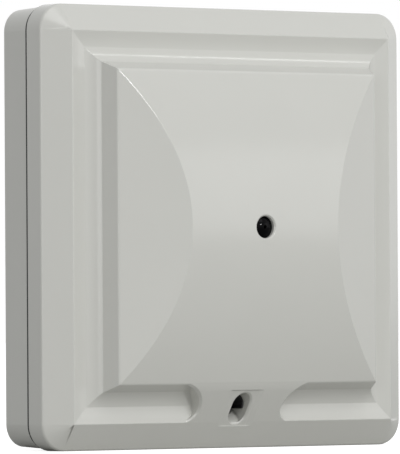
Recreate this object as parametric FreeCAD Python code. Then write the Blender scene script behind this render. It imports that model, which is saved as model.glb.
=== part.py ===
import FreeCAD, Part
import math
import os

# Square wall sensor that listens for breaking glass.
# Every piece is drawn lying on its back: X to the right, Y up the wall, Z out of the wall.
# export() turns it upright, so the finished sensor has Z up and faces -Y.

# Housing outline, seen from the front
WIDTH = 89.0
HEIGHT = 86.0
CORNER_R = 5.1

# Depths out from the wall
RIM_D = 7.75
PART_GAP = 0.5
BEVEL_D = 12.5
EDGE_D = 20.5
CROWN_RISE = 5.45

# Front form, from the outline inwards
BEVEL_INSET = 5.1
BEVEL_RISE = 3.5
RIDGE_LAND = 0.15
LEDGE_W = 3.3
LEDGE_DIP = 0.45
LEDGE_SAG = 0.11
COVE_W = 2.8
COVE_RISE = 1.7
COVE_SAG = 0.32
PEDESTAL_WALL_W = 1.4
HIP_ANGLE = 21.5
OUTLINE_ROUND = 0.6
PEDESTAL_SOFT = 0.3

# Bridge across the lower channel, with the pad and the slot for the cover screw
BRIDGE_W = 20.8
RAMP_OVER = 0.5
RAMP_SOFT = 1.2
POCKET_TURN_UP = 2.6
POCKET_TURN_HIGH = 6.5
POCKET_TURN_LOW = 4.2
POCKET_LIP = 0.4
PAD_W = 8.4
PAD_LOW = 4.3
PAD_HIGH = 11.3
PAD_DEPTH = 0.2
PAD_FADE = 1.2
SLOT_INSET = 7.8
SLOT_W = 4.1
SLOT_H = 5.9
SLOT_BREAK = 0.3
LEAD_IN_ANGLE = 40.0
TUNNEL_WALL = 1.2
TUNNEL_FLOOR = 1.2
TUNNEL_CLEAR = 0.4
SOUND_HOLE_R = 2.15
SOUND_HOLE_BREAK = 0.3
SOUND_HOLE_DEPTH = 2.2
SOUND_THROAT_R = 3.4
SOUND_TUBE_R = 5.0
SOUND_CLEAR = 0.3
GROMMET_BORE_R = 0.9
GROMMET_SUNK = 0.25
GROMMET_FLANGE_T = 0.9

# Walls of the cover
COVER_WALL = 1.7
CEILING = 1.8
INNER_WALL_OFFSET = 1.7
RIB_T = 1.0
RIB_DROP = 2.2

# Base tray
BASE_STEP = 0.35
BASE_DRAFT = 0.35
RIM_BREAK = 0.3
PLATE_T = 2.0
LIP_CLEAR = 0.25
LIP_T = 0.9
LIP_H = 2.0
WALL_SCREW_X = 70.0
WALL_SCREW_Y = 50.0
WALL_SCREW_R = 2.1
WALL_SCREW_SLOT = 7.0
WIRE_ENTRY_W = 16.0
WIRE_ENTRY_H = 8.0
WIRE_ENTRY_X = -19.0
WIRE_ENTRY_INSET = 8.6
KNOCKOUT_SKIN = 0.7
SIDE_KNOCKOUT_W = 10.0
SIDE_KNOCKOUT_H = 4.0
RIB_BASE_T = 1.2
RIB_BASE_H = 1.6

# Curved hooks of the cover and the pockets that take them
HOOK_X = 24.0
HOOK_W = 8.0
HOOK_R_IN = 2.9
HOOK_T = 1.2
HOOK_TIP_ANGLE = 60.0
HOOK_ROOT_ANGLE = 78.0
HOOK_CLEAR = 0.25
HOOK_POCKET_OVER = 8.0
HINGE_INSET = 0.2

# Circuit board and its posts. The board's ends are placed from the outline of the housing.
BOARD_W = 58.0
BOARD_LOW_IN = 14.5
BOARD_HIGH_IN = 9.5
BOARD_T = 1.6
BOARD_LIFT = 3.6
BOARD_CORNER_R = 1.5
POST_W = 5.6
POST_INSET = 3.5
PEG_W = 2.2
PEG_STAND = 0.8
BOARD_HOLE_R = 1.35

# Screws
BOARD_SCREW_R = 1.1
BOARD_SCREW_HEAD_R = 2.4
BOARD_SCREW_HEAD_H = 1.5
BOARD_SCREW_TIP = 1.9
BORE_PAST_TIP = 0.5
COVER_SCREW_R = 1.25
COVER_SCREW_HEAD_R = 1.85
COVER_SCREW_HEAD_H = 1.4
COVER_SCREW_GRIP = 3.0
COVER_SCREW_CLEAR = 0.2
COVER_SCREW_FLOOR_CLEAR = 0.35
BOSS_W = 6.2
BOSS_DEPTH = 4.2
DRIVE_SLOT_W = 0.6
DRIVE_SLOT_DEPTH = 0.6
DRIVE_SLOT_EDGE = 0.65

# Microphone
MIC_R = 4.85
MIC_H = 5.2
BOOT_T = 1.05
BOOT_LIP = 0.6
FELT_T = 0.4

# Terminal block
TERMINAL_COUNT = 6
TERMINAL_PITCH = 5.0
TERMINAL_D = 8.0
TERMINAL_H = 10.0
TERMINAL_EDGE = 0.5
TERMINAL_BEVEL = 1.6
MOUTH_W = 3.6
MOUTH_H = 3.8
MOUTH_FLOOR = 1.2
MOUTH_DEPTH = 6.2
CLAMP_T = 1.2
CLAMP_CLEAR = 0.1
TERMINAL_SCREW_R = 1.8
TERMINAL_SCREW_L = 4.0
TERMINAL_WELL_CLEAR = 0.15

# Option switch
DIP_X = -18.0
DIP_Y = 12.0
DIP_COUNT = 4
DIP_PITCH = 2.54
DIP_W = 11.6
DIP_D = 6.6
DIP_H = 4.6
DIP_SLOT_W = 1.5
DIP_SLOT_DEPTH = 2.4
DIP_KNOB_L = 1.5
DIP_TRAVEL = 1.6
DIP_KNOB_STAND = 0.8
DIP_KNOB_BREAK = 0.25
DIP_SIDE_CLEAR = 0.1
DIP_SLOT_L = DIP_KNOB_L + DIP_TRAVEL + 3 * DIP_SIDE_CLEAR
DIP_FOOT = 0.05

# Tamper switch
TAMPER_X = 21.5
TAMPER_Y = -10.0
TAMPER_W = 6.0
TAMPER_H = 4.4
PLUNGER_R = 1.6
PLUNGER_CLEAR = 0.08
PLUNGER_STAND = 3.6
PLUNGER_SUNK = 2.2
PLUNGER_FLOOR = 0.6
TAMPER_POST_R = 1.9
TAMPER_POST_CLEAR = 0.05

# Relay
RELAY_X = 18.0
RELAY_Y = 13.0
RELAY_W = 10.0
RELAY_L = 19.5
RELAY_H = 10.0
RELAY_FOOT = 0.4
RELAY_FOOT_W = 1.2

# Chips. A place called up is measured from the board's lower end, a place called y from the sound hole.
LEAD_T = 0.25
LEAD_W = 0.42
LEAD_REACH = 1.3
LEAD_RISE = 0.9
LEAD_PITCH = 1.27
CHIP_BEVEL = 0.35
CONTROLLER_UP = 20.5
CONTROLLER = {"x": -16.0, "length": 10.3, "width": 7.5, "height": 2.3, "leads": 8}
AMPLIFIER_Y = 14.0
AMPLIFIER = {"x": 0.0, "length": 5.0, "width": 3.9, "height": 1.7, "leads": 4}
REGULATOR_X = -4.0
REGULATOR_Y = 24.0
REGULATOR_L = 6.5
REGULATOR_W = 3.5
REGULATOR_H = 1.7
REGULATOR_TAB_W = 3.0
REGULATOR_TAB_REACH = 1.7
REGULATOR_PITCH = 2.3

# Crystal, capacitors, diodes and small chips
CRYSTAL_X = -18.0
CRYSTAL_UP = 29.5
CRYSTAL_L = 11.0
CRYSTAL_W = 4.5
CRYSTAL_H = 3.5
CRYSTAL_PLATE_T = 0.6
CRYSTAL_EDGE = 0.35
CAN_R = 3.15
CAN_H = 7.4
CAN_FOOT = 0.8
CAN_X = (7.5, 15.0)
CAN_UP = 15.5
DIODE_L = 4.4
DIODE_W = 3.4
DIODE_H = 2.2
DIODE_TAB = 0.5
DIODE_TAB_W = 2.0
DIODE_X = (-14.0, -6.5)
DIODE_UP = 11.7
CHIP_L = 2.0
CHIP_W = 1.25
CHIP_H = 0.55
CHIP_PLACES = ((-9.5, 3.0), (-9.5, 6.0), (-9.5, 20.0), (-9.5, 22.5), (-9.5, 25.0), (6.0, 22.0),
               (6.0, 24.5), (6.0, 27.0), (8.5, 8.0), (8.5, 10.5), (25.5, -2.0), (25.5, 0.5))
CHIP_CAP_PLACES = ((-26.0, -4.0), (-26.0, -6.5), (-26.0, -9.0), (-1.5, 8.5), (1.5, -8.0),
                   (25.5, 3.0), (25.5, 5.5), (-16.0, 18.5))
CHIP_CAP_H = 0.9

# Reach past a face, used where a cutter has to run clear of the solid
PAST = 1.0

# Levels that follow from the values above
HALF_W = WIDTH / 2
HALF_H = HEIGHT / 2
COVER_RIM_D = RIM_D + PART_GAP
RIDGE_D = BEVEL_D + BEVEL_RISE
CREASE_D = RIDGE_D - LEDGE_DIP
COVE_D = CREASE_D + COVE_RISE
APEX_D = EDGE_D + CROWN_RISE
CREASE_IN = BEVEL_INSET + LEDGE_W
COVE_IN = CREASE_IN + COVE_W
EDGE_IN = COVE_IN + PEDESTAL_WALL_W
LIP_OUT_IN = COVER_WALL + LIP_CLEAR
LIP_IN_IN = LIP_OUT_IN + LIP_T
LIP_TOP_D = RIM_D + LIP_H
BOSS_TOP_D = COVER_RIM_D + TUNNEL_CLEAR
BOARD_D = PLATE_T + BOARD_LIFT
BOARD_TOP_D = BOARD_D + BOARD_T
BOARD_Y0 = -HALF_H + BOARD_LOW_IN
BOARD_Y1 = HALF_H - BOARD_HIGH_IN
BOARD_MID_Y = (BOARD_Y0 + BOARD_Y1) / 2
SLOT_Y = -HALF_H + SLOT_INSET
SCREW_Y = SLOT_Y + (SLOT_H - SLOT_W) / 2
HINGE_Y = HALF_H - HINGE_INSET
HINGE_D = RIM_D + PART_GAP / 2
MIC_TOP_D = BOARD_TOP_D + MIC_H
BOOT_TOP_D = MIC_TOP_D + BOOT_LIP
PLUNGER_TOP_D = BOARD_TOP_D + TAMPER_H + PLUNGER_STAND


def vec(x, y, z):
    """Point or direction in the bench frame."""
    return FreeCAD.Vector(x, y, z)


def export(name, shape):
    """Turns a piece upright and writes it as its node's file."""
    turned = shape.copy()
    turned.rotate(vec(0, 0, 0), vec(1, 0, 0), 90)
    turned.exportStep("parts/" + name + ".step")
    print(name, "solids", len(turned.Solids), "valid", turned.isValid(), "volume", round(turned.Volume, 1))


def box(x0, x1, y0, y1, z0, z1):
    """Box between two limits on each axis."""
    return Part.makeBox(x1 - x0, y1 - y0, z1 - z0, vec(x0, y0, z0))


def block(x, y, width, height, z0, z1):
    """Box centred on a place on the plate or the board."""
    return box(x - width / 2, x + width / 2, y - height / 2, y + height / 2, z0, z1)


def rod(x, y, radius, z0, z1):
    """Upright cylinder."""
    return Part.makeCylinder(radius, z1 - z0, vec(x, y, z0))


def taper(x, y, radius_low, radius_high, z0, z1):
    """Upright cone frustum."""
    return Part.makeCone(radius_low, radius_high, z1 - z0, vec(x, y, z0))


def rounded_wire(half_x, half_y, radius, z):
    """Rectangle with round corners, as a wire of eight edges."""
    diagonal = radius * math.sqrt(0.5)
    edges = []
    for turn in range(4):
        sx, sy = ((1, 1), (-1, 1), (-1, -1), (1, -1))[turn]
        centre_x, centre_y = sx * (half_x - radius), sy * (half_y - radius)
        on_x = vec(centre_x + sx * radius, centre_y, z)
        on_y = vec(centre_x, centre_y + sy * radius, z)
        middle = vec(centre_x + sx * diagonal, centre_y + sy * diagonal, z)
        first, last = (on_x, on_y) if sx * sy > 0 else (on_y, on_x)
        edges.append(Part.Arc(first, middle, last).toShape())
    straight = []
    for index in range(4):
        end = edges[index].Vertexes[1].Point
        start = edges[(index + 1) % 4].Vertexes[0].Point
        straight.append(Part.makeLine(end, start))
    ordered = []
    for index in range(4):
        ordered += [edges[index], straight[index]]
    return Part.Wire(ordered)


def rounded_prism(half_x, half_y, radius, z0, z1):
    """Prism on a rectangle with round corners."""
    return Part.Face(rounded_wire(half_x, half_y, radius, z0)).extrude(vec(0, 0, z1 - z0))


def obround(x, y, width, height, z0, z1):
    """Slot-shaped prism, long along its larger size."""
    radius = min(width, height) / 2
    run_x, run_y = width / 2 - radius, height / 2 - radius
    if run_x > run_y:
        middle = block(x, y, 2 * run_x, height, z0, z1)
    else:
        middle = block(x, y, width, 2 * run_y, z0, z1)
    ends = [rod(x - run_x, y - run_y, radius, z0, z1), rod(x + run_x, y + run_y, radius, z0, z1)]
    return middle.multiFuse(ends).removeSplitter()


def outline(points, along):
    """Closed face from points and arcs in a section plane.

    A point is (across, depth). A triple of points stands for an arc through its middle one.
    The section lies across Y when along is "y", and across X when along is "x".
    """
    def place(point):
        return vec(point[0], 0, point[1]) if along == "y" else vec(0, point[0], point[1])

    edges, last, first = [], None, None
    for item in points:
        if isinstance(item[0], tuple):
            start, middle, end = item
            if last is not None and place(last).distanceToPoint(place(start)) > 1e-6:
                edges.append(Part.makeLine(place(last), place(start)))
            edges.append(Part.Arc(place(start), place(middle), place(end)).toShape())
            first = start if first is None else first
            last = end
        else:
            if last is not None:
                edges.append(Part.makeLine(place(last), place(item)))
            first = item if first is None else first
            last = item
    edges.append(Part.makeLine(place(last), place(first)))
    return Part.Face(Part.Wire(edges))


def section_solid(points, along, half_length):
    """Section extruded both ways from the middle."""
    direction = vec(0, 1, 0) if along == "y" else vec(1, 0, 0)
    face = outline(points, along)
    face.translate(direction * -half_length)
    return face.extrude(direction * (2 * half_length))


def sagged(start, end, sag):
    """Arc from start to end whose middle hangs below the chord by sag, towards the outside."""
    run, rise = end[0] - start[0], end[1] - start[1]
    length = math.hypot(run, rise)
    side = 1 if run > 0 else -1
    middle = ((start[0] + end[0]) / 2 + side * sag * rise / length,
              (start[1] + end[1]) / 2 - side * sag * run / length)
    return (start, middle, end)


def bowl_section(half):
    """Space over the dished ledge, from ridge to ridge."""
    ridge, crease = half - BEVEL_INSET - RIDGE_LAND, half - CREASE_IN
    over = APEX_D + PAST
    return [(-ridge, over), sagged((-ridge, RIDGE_D), (-crease, CREASE_D), LEDGE_SAG),
            sagged((crease, CREASE_D), (ridge, RIDGE_D), LEDGE_SAG), (ridge, over)]


def pedestal_section(half, top):
    """Raised middle with its coved flanks; top lists what spans from edge to edge."""
    crease, cove = half - CREASE_IN, half - COVE_IN
    left = sagged((-crease, CREASE_D), (-cove, COVE_D), COVE_SAG)
    right = sagged((cove, COVE_D), (crease, CREASE_D), COVE_SAG)
    return [(-crease, BEVEL_D), left] + top + [right, (crease, BEVEL_D)]


def softened(before, corner, after, reach):
    """Arc that rounds a corner, starting and ending at reach from it."""
    ends = []
    for point in (before, after):
        length = math.hypot(point[0] - corner[0], point[1] - corner[1])
        ends.append(((point[0] - corner[0]) / length, (point[1] - corner[1]) / length))
    along = (ends[0][0] + ends[1][0], ends[0][1] + ends[1][1])
    size = math.hypot(along[0], along[1])
    half_angle = math.acos(size / 2)
    inwards = reach / math.cos(half_angle) - reach * math.tan(half_angle)
    middle = (corner[0] + inwards * along[0] / size, corner[1] + inwards * along[1] / size)
    return (tuple(corner[axis] + reach * ends[0][axis] for axis in (0, 1)), middle,
            tuple(corner[axis] + reach * ends[1][axis] for axis in (0, 1)))


def mirrored(arc):
    """The same arc on the other side, in running order."""
    return tuple((-point[0], point[1]) for point in reversed(arc))


def arch_depth(across, edge):
    """Depth of the arch over a place, for an arch that spans from edge to edge."""
    radius = (edge ** 2 + CROWN_RISE ** 2) / (2 * CROWN_RISE)
    return APEX_D - radius + math.sqrt(radius ** 2 - across ** 2)


def crown_top(half):
    """Arch from the lower to the upper edge of the raised middle, with softened edges."""
    edge = half - EDGE_IN
    on_arch = (-edge + PEDESTAL_SOFT, arch_depth(edge - PEDESTAL_SOFT, edge))
    left = softened((-(half - COVE_IN), COVE_D), (-edge, EDGE_D), on_arch, PEDESTAL_SOFT)
    start = (left[2][0], arch_depth(left[2][0], edge))
    left = (left[0], left[1], start)
    return [left, (start, (0, APEX_D), (-start[0], start[1])), mirrored(left)]


def hip_top(half):
    """Two flat faces that rise from the side edges and pass above the arch."""
    edge = half - EDGE_IN
    over = APEX_D + PAST
    reach = edge - (over - EDGE_D) / math.tan(math.radians(HIP_ANGLE))
    left = softened((-(half - COVE_IN), COVE_D), (-edge, EDGE_D), (-reach, over), PEDESTAL_SOFT)
    return [left, (-reach, over), (reach, over), mirrored(left)]


def rounded_at(shape, level, radius):
    """Rounds every edge that lies at one depth."""
    picked = [edge for edge in shape.Edges
              if all(abs(corner.Z - level) < 1e-6 for corner in edge.Vertexes)
              and abs(edge.BoundBox.ZLength) < 1e-6]
    return shape.makeFillet(radius, picked)


def chamfered_at(shape, level, size):
    """Breaks every outer edge that lies at one depth."""
    picked = [edge for edge in shape.Edges
              if abs(edge.BoundBox.ZMin - level) < 1e-6 and edge.BoundBox.ZLength < 1e-6]
    return shape.makeChamfer(size, picked)


def tapered_block(x, y, width, height, lean, z0, z1):
    """Moulded block whose four sides lean in by the same amount."""
    across = [(-width / 2, z0), (width / 2, z0), (width / 2 - lean, z1), (-width / 2 + lean, z1)]
    up = [(-height / 2, z0), (height / 2, z0), (height / 2 - lean, z1), (-height / 2 + lean, z1)]
    body = section_solid(across, "y", height / 2).common(section_solid(up, "x", width / 2))
    body.translate(vec(x, y, 0))
    return body


def is_pocket_lip(edge):
    """True for the curved edges where a pocket's end meets the ramp's face."""
    low = -HALF_H + BEVEL_INSET
    box_of = edge.BoundBox
    return (abs(box_of.Center.x) > BRIDGE_W / 2 and box_of.YLength > POCKET_LIP
            and box_of.ZMin > BEVEL_D + PAST and box_of.XLength > POCKET_LIP and box_of.YMin > low - PAST)


def ramp_corner():
    """Place where the ramp's plane meets the arch, carried past its lower edge."""
    edge = HALF_H - EDGE_IN
    return (-edge - RAMP_OVER, arch_depth(edge + RAMP_OVER, edge))


def ramp_foot():
    """Place on the lower ridge where the ramp starts."""
    return (-HALF_H + BEVEL_INSET, RIDGE_D)


def ramp_depth(across):
    """Depth of the ramp over a place between its foot and its upper corner."""
    foot, corner = ramp_foot(), ramp_corner()
    return foot[1] + (across - foot[0]) * (corner[1] - foot[1]) / (corner[0] - foot[0])


def ramp_section():
    """Section of the bridge: the ramp, a soft turn and the first stretch of the arch."""
    edge = HALF_H - EDGE_IN
    foot, corner = ramp_foot(), ramp_corner()
    on_arch = (corner[0] + RAMP_SOFT, arch_depth(corner[0] + RAMP_SOFT, edge))
    turn = softened(foot, corner, on_arch, RAMP_SOFT)
    start = (turn[2][0], arch_depth(turn[2][0], edge))
    end_y, middle_y = -edge + 4 * RAMP_SOFT, -edge + 2 * RAMP_SOFT
    arch = (start, (middle_y, arch_depth(middle_y, edge)), (end_y, arch_depth(end_y, edge)))
    return [(foot[0], BEVEL_D), foot, (turn[0], turn[1], start), arch, (end_y, BEVEL_D)]


def under_ramp_section(shelf):
    """Section of the hollow under the ramp."""
    across, depth = ramp_corner()
    start_y = ramp_foot()[0]
    end_y = across + RAMP_OVER + 3 * PAST
    drop = CEILING * math.hypot(1, (depth - RIDGE_D) / (across - start_y))
    return [(start_y, shelf - PAST), (start_y, ramp_depth(start_y) - drop),
            (across, depth - drop), (end_y, depth - drop), (end_y, shelf - PAST)]


def bevelled_block(half_x, half_y, radius, inset, z0, z1):
    """Round-cornered block whose sides lean in by inset from z0 to z1."""
    pieces = []
    for half, along, reach in ((half_x, "y", half_y - radius), (half_y, "x", half_x - radius)):
        points = [(-half, z0), (half, z0), (half - inset, z1), (-half + inset, z1)]
        pieces.append(section_solid(points, along, reach))
    for turn, (sx, sy) in enumerate(((1, 1), (-1, 1), (-1, -1), (1, -1))):
        corner = Part.makeCone(radius, radius - inset, z1 - z0, vec(0, 0, 0), vec(0, 0, 1), 90)
        corner.rotate(vec(0, 0, 0), vec(0, 0, 1), 90 * turn)
        corner.translate(vec(sx * (half_x - radius), sy * (half_y - radius), z0))
        pieces.append(corner)
    return pieces[0].multiFuse(pieces[1:]).removeSplitter()


def cover_outside():
    """Outer form of the cover, solid throughout."""
    wall = rounded_prism(HALF_W, HALF_H, CORNER_R, COVER_RIM_D, BEVEL_D)
    bevel = bevelled_block(HALF_W, HALF_H, CORNER_R, BEVEL_INSET, BEVEL_D, RIDGE_D)
    body = wall.fuse(bevel).removeSplitter()
    body = rounded_at(body, BEVEL_D, OUTLINE_ROUND)
    reach = max(HALF_W, HALF_H) + PAST
    bowl = section_solid(bowl_section(HALF_W), "y", reach).common(
        section_solid(bowl_section(HALF_H), "x", reach))
    body = body.cut(bowl)
    crown = section_solid(pedestal_section(HALF_H, crown_top(HALF_H)), "x", reach)
    hips = section_solid(pedestal_section(HALF_W, hip_top(HALF_W)), "y", reach)
    pedestal = crown.common(hips)
    return body.fuse(pedestal).fuse(bridge()).removeSplitter()


def bridge():
    """Ramp that fills the lower channel at its middle, with a round-ended hollow on each side."""
    half_length = BRIDGE_W / 2 + POCKET_TURN_HIGH
    ramp = section_solid(ramp_section(), "x", half_length)
    for side in (-1, 1):
        ramp = ramp.cut(pocket(side, half_length))
    lips = [edge for edge in ramp.Edges if is_pocket_lip(edge)]
    return ramp.makeChamfer(POCKET_LIP, lips)


def pocket(side, reach):
    """Space beside the bridge, whose end turns in two elliptic arcs: a wide one above, a tight one below."""
    low, high = -HALF_H + BEVEL_INSET, -HALF_H + EDGE_IN
    level = low + POCKET_TURN_UP
    flank = side * BRIDGE_W / 2
    far = side * (reach + PAST)
    edges = []
    for turn, border in ((POCKET_TURN_HIGH, high), (POCKET_TURN_LOW, low)):
        centre = vec(flank + side * turn, level, BEVEL_D)
        end = vec(centre.x, border, BEVEL_D)
        curve = Part.Ellipse(vec(flank, level, BEVEL_D), end, centre)
        edges.append(Part.ArcOfEllipse(curve, 0, math.pi / 2).toShape())
        edges.append(Part.makeLine(end, vec(far, border, BEVEL_D)))
    edges.append(Part.makeLine(vec(far, low, BEVEL_D), vec(far, high, BEVEL_D)))
    face = Part.Face(Part.Wire(Part.__sortEdges__(edges)))
    return face.extrude(vec(0, 0, APEX_D - BEVEL_D))


def cover_inside():
    """Space inside the cover, following the outer form at the wall's thickness."""
    half_x, half_y = HALF_W - COVER_WALL, HALF_H - COVER_WALL
    radius = CORNER_R - COVER_WALL
    shelf = CREASE_D - CEILING
    low = COVER_RIM_D - PAST
    shoulder = BEVEL_D - CEILING / 2
    inset = BEVEL_INSET * (shelf - shoulder) / BEVEL_RISE
    space = rounded_prism(half_x, half_y, radius, low, shoulder)
    space = space.fuse(bevelled_block(half_x, half_y, radius, inset, shoulder, shelf))
    reach = max(HALF_W, HALF_H) + PAST
    sections = []
    for half, along in ((HALF_H, "x"), (HALF_W, "y")):
        foot, knee, edge = (half - CREASE_IN - INNER_WALL_OFFSET / 2, half - COVE_IN - INNER_WALL_OFFSET,
                            half - EDGE_IN - INNER_WALL_OFFSET)
        shift = [(-foot, shelf - PAST), (-foot, shelf), (-knee, COVE_D - CEILING)]
        back = [(knee, COVE_D - CEILING), (foot, shelf), (foot, shelf - PAST)]
        if along == "x":
            top = [((-edge, EDGE_D - CEILING), (0, APEX_D - CEILING), (edge, EDGE_D - CEILING))]
        else:
            over = APEX_D + PAST
            flat = edge - (over - EDGE_D + CEILING) / math.tan(math.radians(HIP_ANGLE))
            top = [(-edge, EDGE_D - CEILING), (-flat, over), (flat, over), (edge, EDGE_D - CEILING)]
        sections.append(section_solid(shift + top + back, along, reach))
    space = space.fuse(sections[0].common(sections[1]))
    under = section_solid(under_ramp_section(shelf), "x", BRIDGE_W / 2 - COVER_WALL)
    return space.fuse(under).removeSplitter()


def hinge_point(radius, angle):
    """Point in a section across X, by its distance from the hinge line and angle out of the wall."""
    turn = math.radians(angle)
    return (HINGE_Y - radius * math.cos(turn), HINGE_D + radius * math.sin(turn))


def hook(side, width, inner, outer, low_angle, high_angle):
    """Ring sector about the hinge line, for a hook or for the pocket round it."""
    middle = (high_angle - low_angle) / 2
    points = [tuple(hinge_point(outer, angle) for angle in (-low_angle, middle, high_angle)),
              tuple(hinge_point(inner, angle) for angle in (high_angle, middle, -low_angle))]
    sector = section_solid(points, "x", width / 2)
    sector.translate(vec(side * HOOK_X, 0, 0))
    return sector


def make_cover():
    """Front cover with its hooks, sound tube, screw tunnel, tamper post and ribs."""
    outside = cover_outside()
    inside = cover_inside()
    shell = outside.cut(inside)
    floor_d = BOSS_TOP_D + TUNNEL_CLEAR
    high = APEX_D + PAST
    tube = rod(0, 0, SOUND_TUBE_R, BOOT_TOP_D + SOUND_CLEAR, high).common(outside)
    tunnel = obround(0, SLOT_Y, SLOT_W + 2 * TUNNEL_WALL, SLOT_H + 2 * TUNNEL_WALL, COVER_RIM_D, high)
    tunnel = tunnel.common(outside.fuse(box(-BRIDGE_W, BRIDGE_W, -HALF_H, 0, COVER_RIM_D, BEVEL_D)))
    tunnel = tunnel.cut(box(-BRIDGE_W, BRIDGE_W, -HALF_H, 0, 0, floor_d))
    post = rod(TAMPER_X, TAMPER_Y, TAMPER_POST_R, PLUNGER_TOP_D + TAMPER_POST_CLEAR, high).common(outside)
    shell = shell.multiFuse([tube, tunnel, post] + ribs(inside))
    for side in (-1, 1):
        finger = hook(side, HOOK_W, HOOK_R_IN, HOOK_R_IN + HOOK_T, HOOK_TIP_ANGLE, HOOK_ROOT_ANGLE)
        shell = shell.fuse(finger)
    shell = shell.removeSplitter()
    shaft_r = COVER_SCREW_R + COVER_SCREW_FLOOR_CLEAR
    cuts = [screw_pad(), lead_in(),
            rod(0, SCREW_Y, SLOT_W / 2, floor_d + TUNNEL_FLOOR, high),
            rod(0, SCREW_Y, shaft_r, floor_d - PAST, high),
            rod(0, 0, SOUND_HOLE_R, BOOT_TOP_D, high),
            rod(0, 0, SOUND_THROAT_R, BOOT_TOP_D, APEX_D - SOUND_HOLE_DEPTH),
            taper(0, 0, SOUND_HOLE_R, SOUND_HOLE_R + 2 * SOUND_HOLE_BREAK,
                  APEX_D - SOUND_HOLE_BREAK, APEX_D + SOUND_HOLE_BREAK)]
    for cutter in cuts:
        shell = shell.cut(cutter)
    rim = [edge for edge in shell.Edges if is_slot_rim(edge)]
    return shell.makeChamfer(SLOT_BREAK, rim)


def ramp_point(x, across, lift):
    """Point over the ramp, lifted square off its plane."""
    foot, corner = ramp_foot(), ramp_corner()
    lean = math.atan2(corner[1] - foot[1], corner[0] - foot[0])
    return vec(x, across - lift * math.sin(lean), ramp_depth(across) + lift * math.cos(lean))


def screw_pad():
    """Shallow pad in the ramp round the slot, stepped at its ends and faded at its sides."""
    low, high = -HALF_H + PAD_LOW, -HALF_H + PAD_HIGH
    half = PAD_W / 2
    corners = [ramp_point(-half - PAD_FADE, low, PAD_DEPTH), ramp_point(-half + PAD_FADE, low, -PAD_DEPTH),
               ramp_point(half - PAD_FADE, low, -PAD_DEPTH), ramp_point(half + PAD_FADE, low, PAD_DEPTH)]
    section = Part.Face(Part.makePolygon(corners + corners[:1]))
    return section.extrude(ramp_point(0, high, 0) - ramp_point(0, low, 0))


def lead_in():
    """Space with a sloping floor under the screw's bore, which lets the driver in."""
    low = SLOT_Y - SLOT_H / 2
    start = ramp_depth(low) - PAD_DEPTH
    deep = start - (SCREW_Y - low) / math.tan(math.radians(LEAD_IN_ANGLE))
    floor = [(low, start), (SCREW_Y, deep), (SCREW_Y, APEX_D), (low, APEX_D)]
    return section_solid(floor, "x", SLOT_W).common(obround(0, SLOT_Y, SLOT_W, SLOT_H, COVER_RIM_D, APEX_D))


def is_slot_rim(edge):
    """True for the edges where the screw's bore and its lead-in meet the pad."""
    square = ramp_point(0, SLOT_Y, 1) - ramp_point(0, SLOT_Y, 0)
    first, last = edge.ParameterRange
    places = [edge.valueAt(first + share * (last - first)) for share in (0, 0.5, 1)]
    return all(abs(place.x) < SLOT_W / 2 + 1e-4
               and abs((place - ramp_point(0, SLOT_Y, -PAD_DEPTH)).dot(square)) < 1e-4 for place in places)


def make_grommet():
    """Soft sleeve in the sound hole, flanged behind the cover's front."""
    step = APEX_D - SOUND_HOLE_DEPTH
    front = APEX_D - GROMMET_SUNK
    body = rod(0, 0, SOUND_HOLE_R, step, front).fuse(rod(0, 0, SOUND_THROAT_R, step - GROMMET_FLANGE_T, step))
    return body.cut(rod(0, 0, GROMMET_BORE_R, step - GROMMET_FLANGE_T - PAST, front + PAST))


def ribs(inside):
    """Thin ribs under the ceiling, each side of the sound tube."""
    low = EDGE_D - CEILING - RIB_DROP
    made = []
    reach = HALF_W - EDGE_IN - 2 * INNER_WALL_OFFSET
    for side in (-1, 1):
        start, end = sorted((side * SOUND_TUBE_R / 2, side * reach))
        made.append(box(start, end, -RIB_T / 2, RIB_T / 2, low, APEX_D).common(inside))
    return made


def base_tray():
    """Back plate, outer wall and inner lip."""
    back_step = BASE_STEP + BASE_DRAFT
    outside = bevelled_block(HALF_W - back_step, HALF_H - back_step, CORNER_R - back_step,
                             -BASE_DRAFT, 0, RIM_D)
    outside = chamfered_at(outside, RIM_D, RIM_BREAK)
    lip = rounded_prism(HALF_W - LIP_OUT_IN, HALF_H - LIP_OUT_IN, CORNER_R - LIP_OUT_IN, PLATE_T, LIP_TOP_D)
    space = rounded_prism(HALF_W - LIP_IN_IN, HALF_H - LIP_IN_IN, CORNER_R - LIP_IN_IN,
                          PLATE_T, LIP_TOP_D + PAST)
    return outside.fuse(lip).cut(space).removeSplitter()


def post_places():
    """Board post centres: the upper pair takes screws, the lower pair has pegs."""
    x = BOARD_W / 2 - POST_INSET
    return [(-x, BOARD_Y1 - POST_INSET), (x, BOARD_Y1 - POST_INSET)], \
           [(-x, BOARD_Y0 + POST_INSET), (x, BOARD_Y0 + POST_INSET)]


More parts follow.
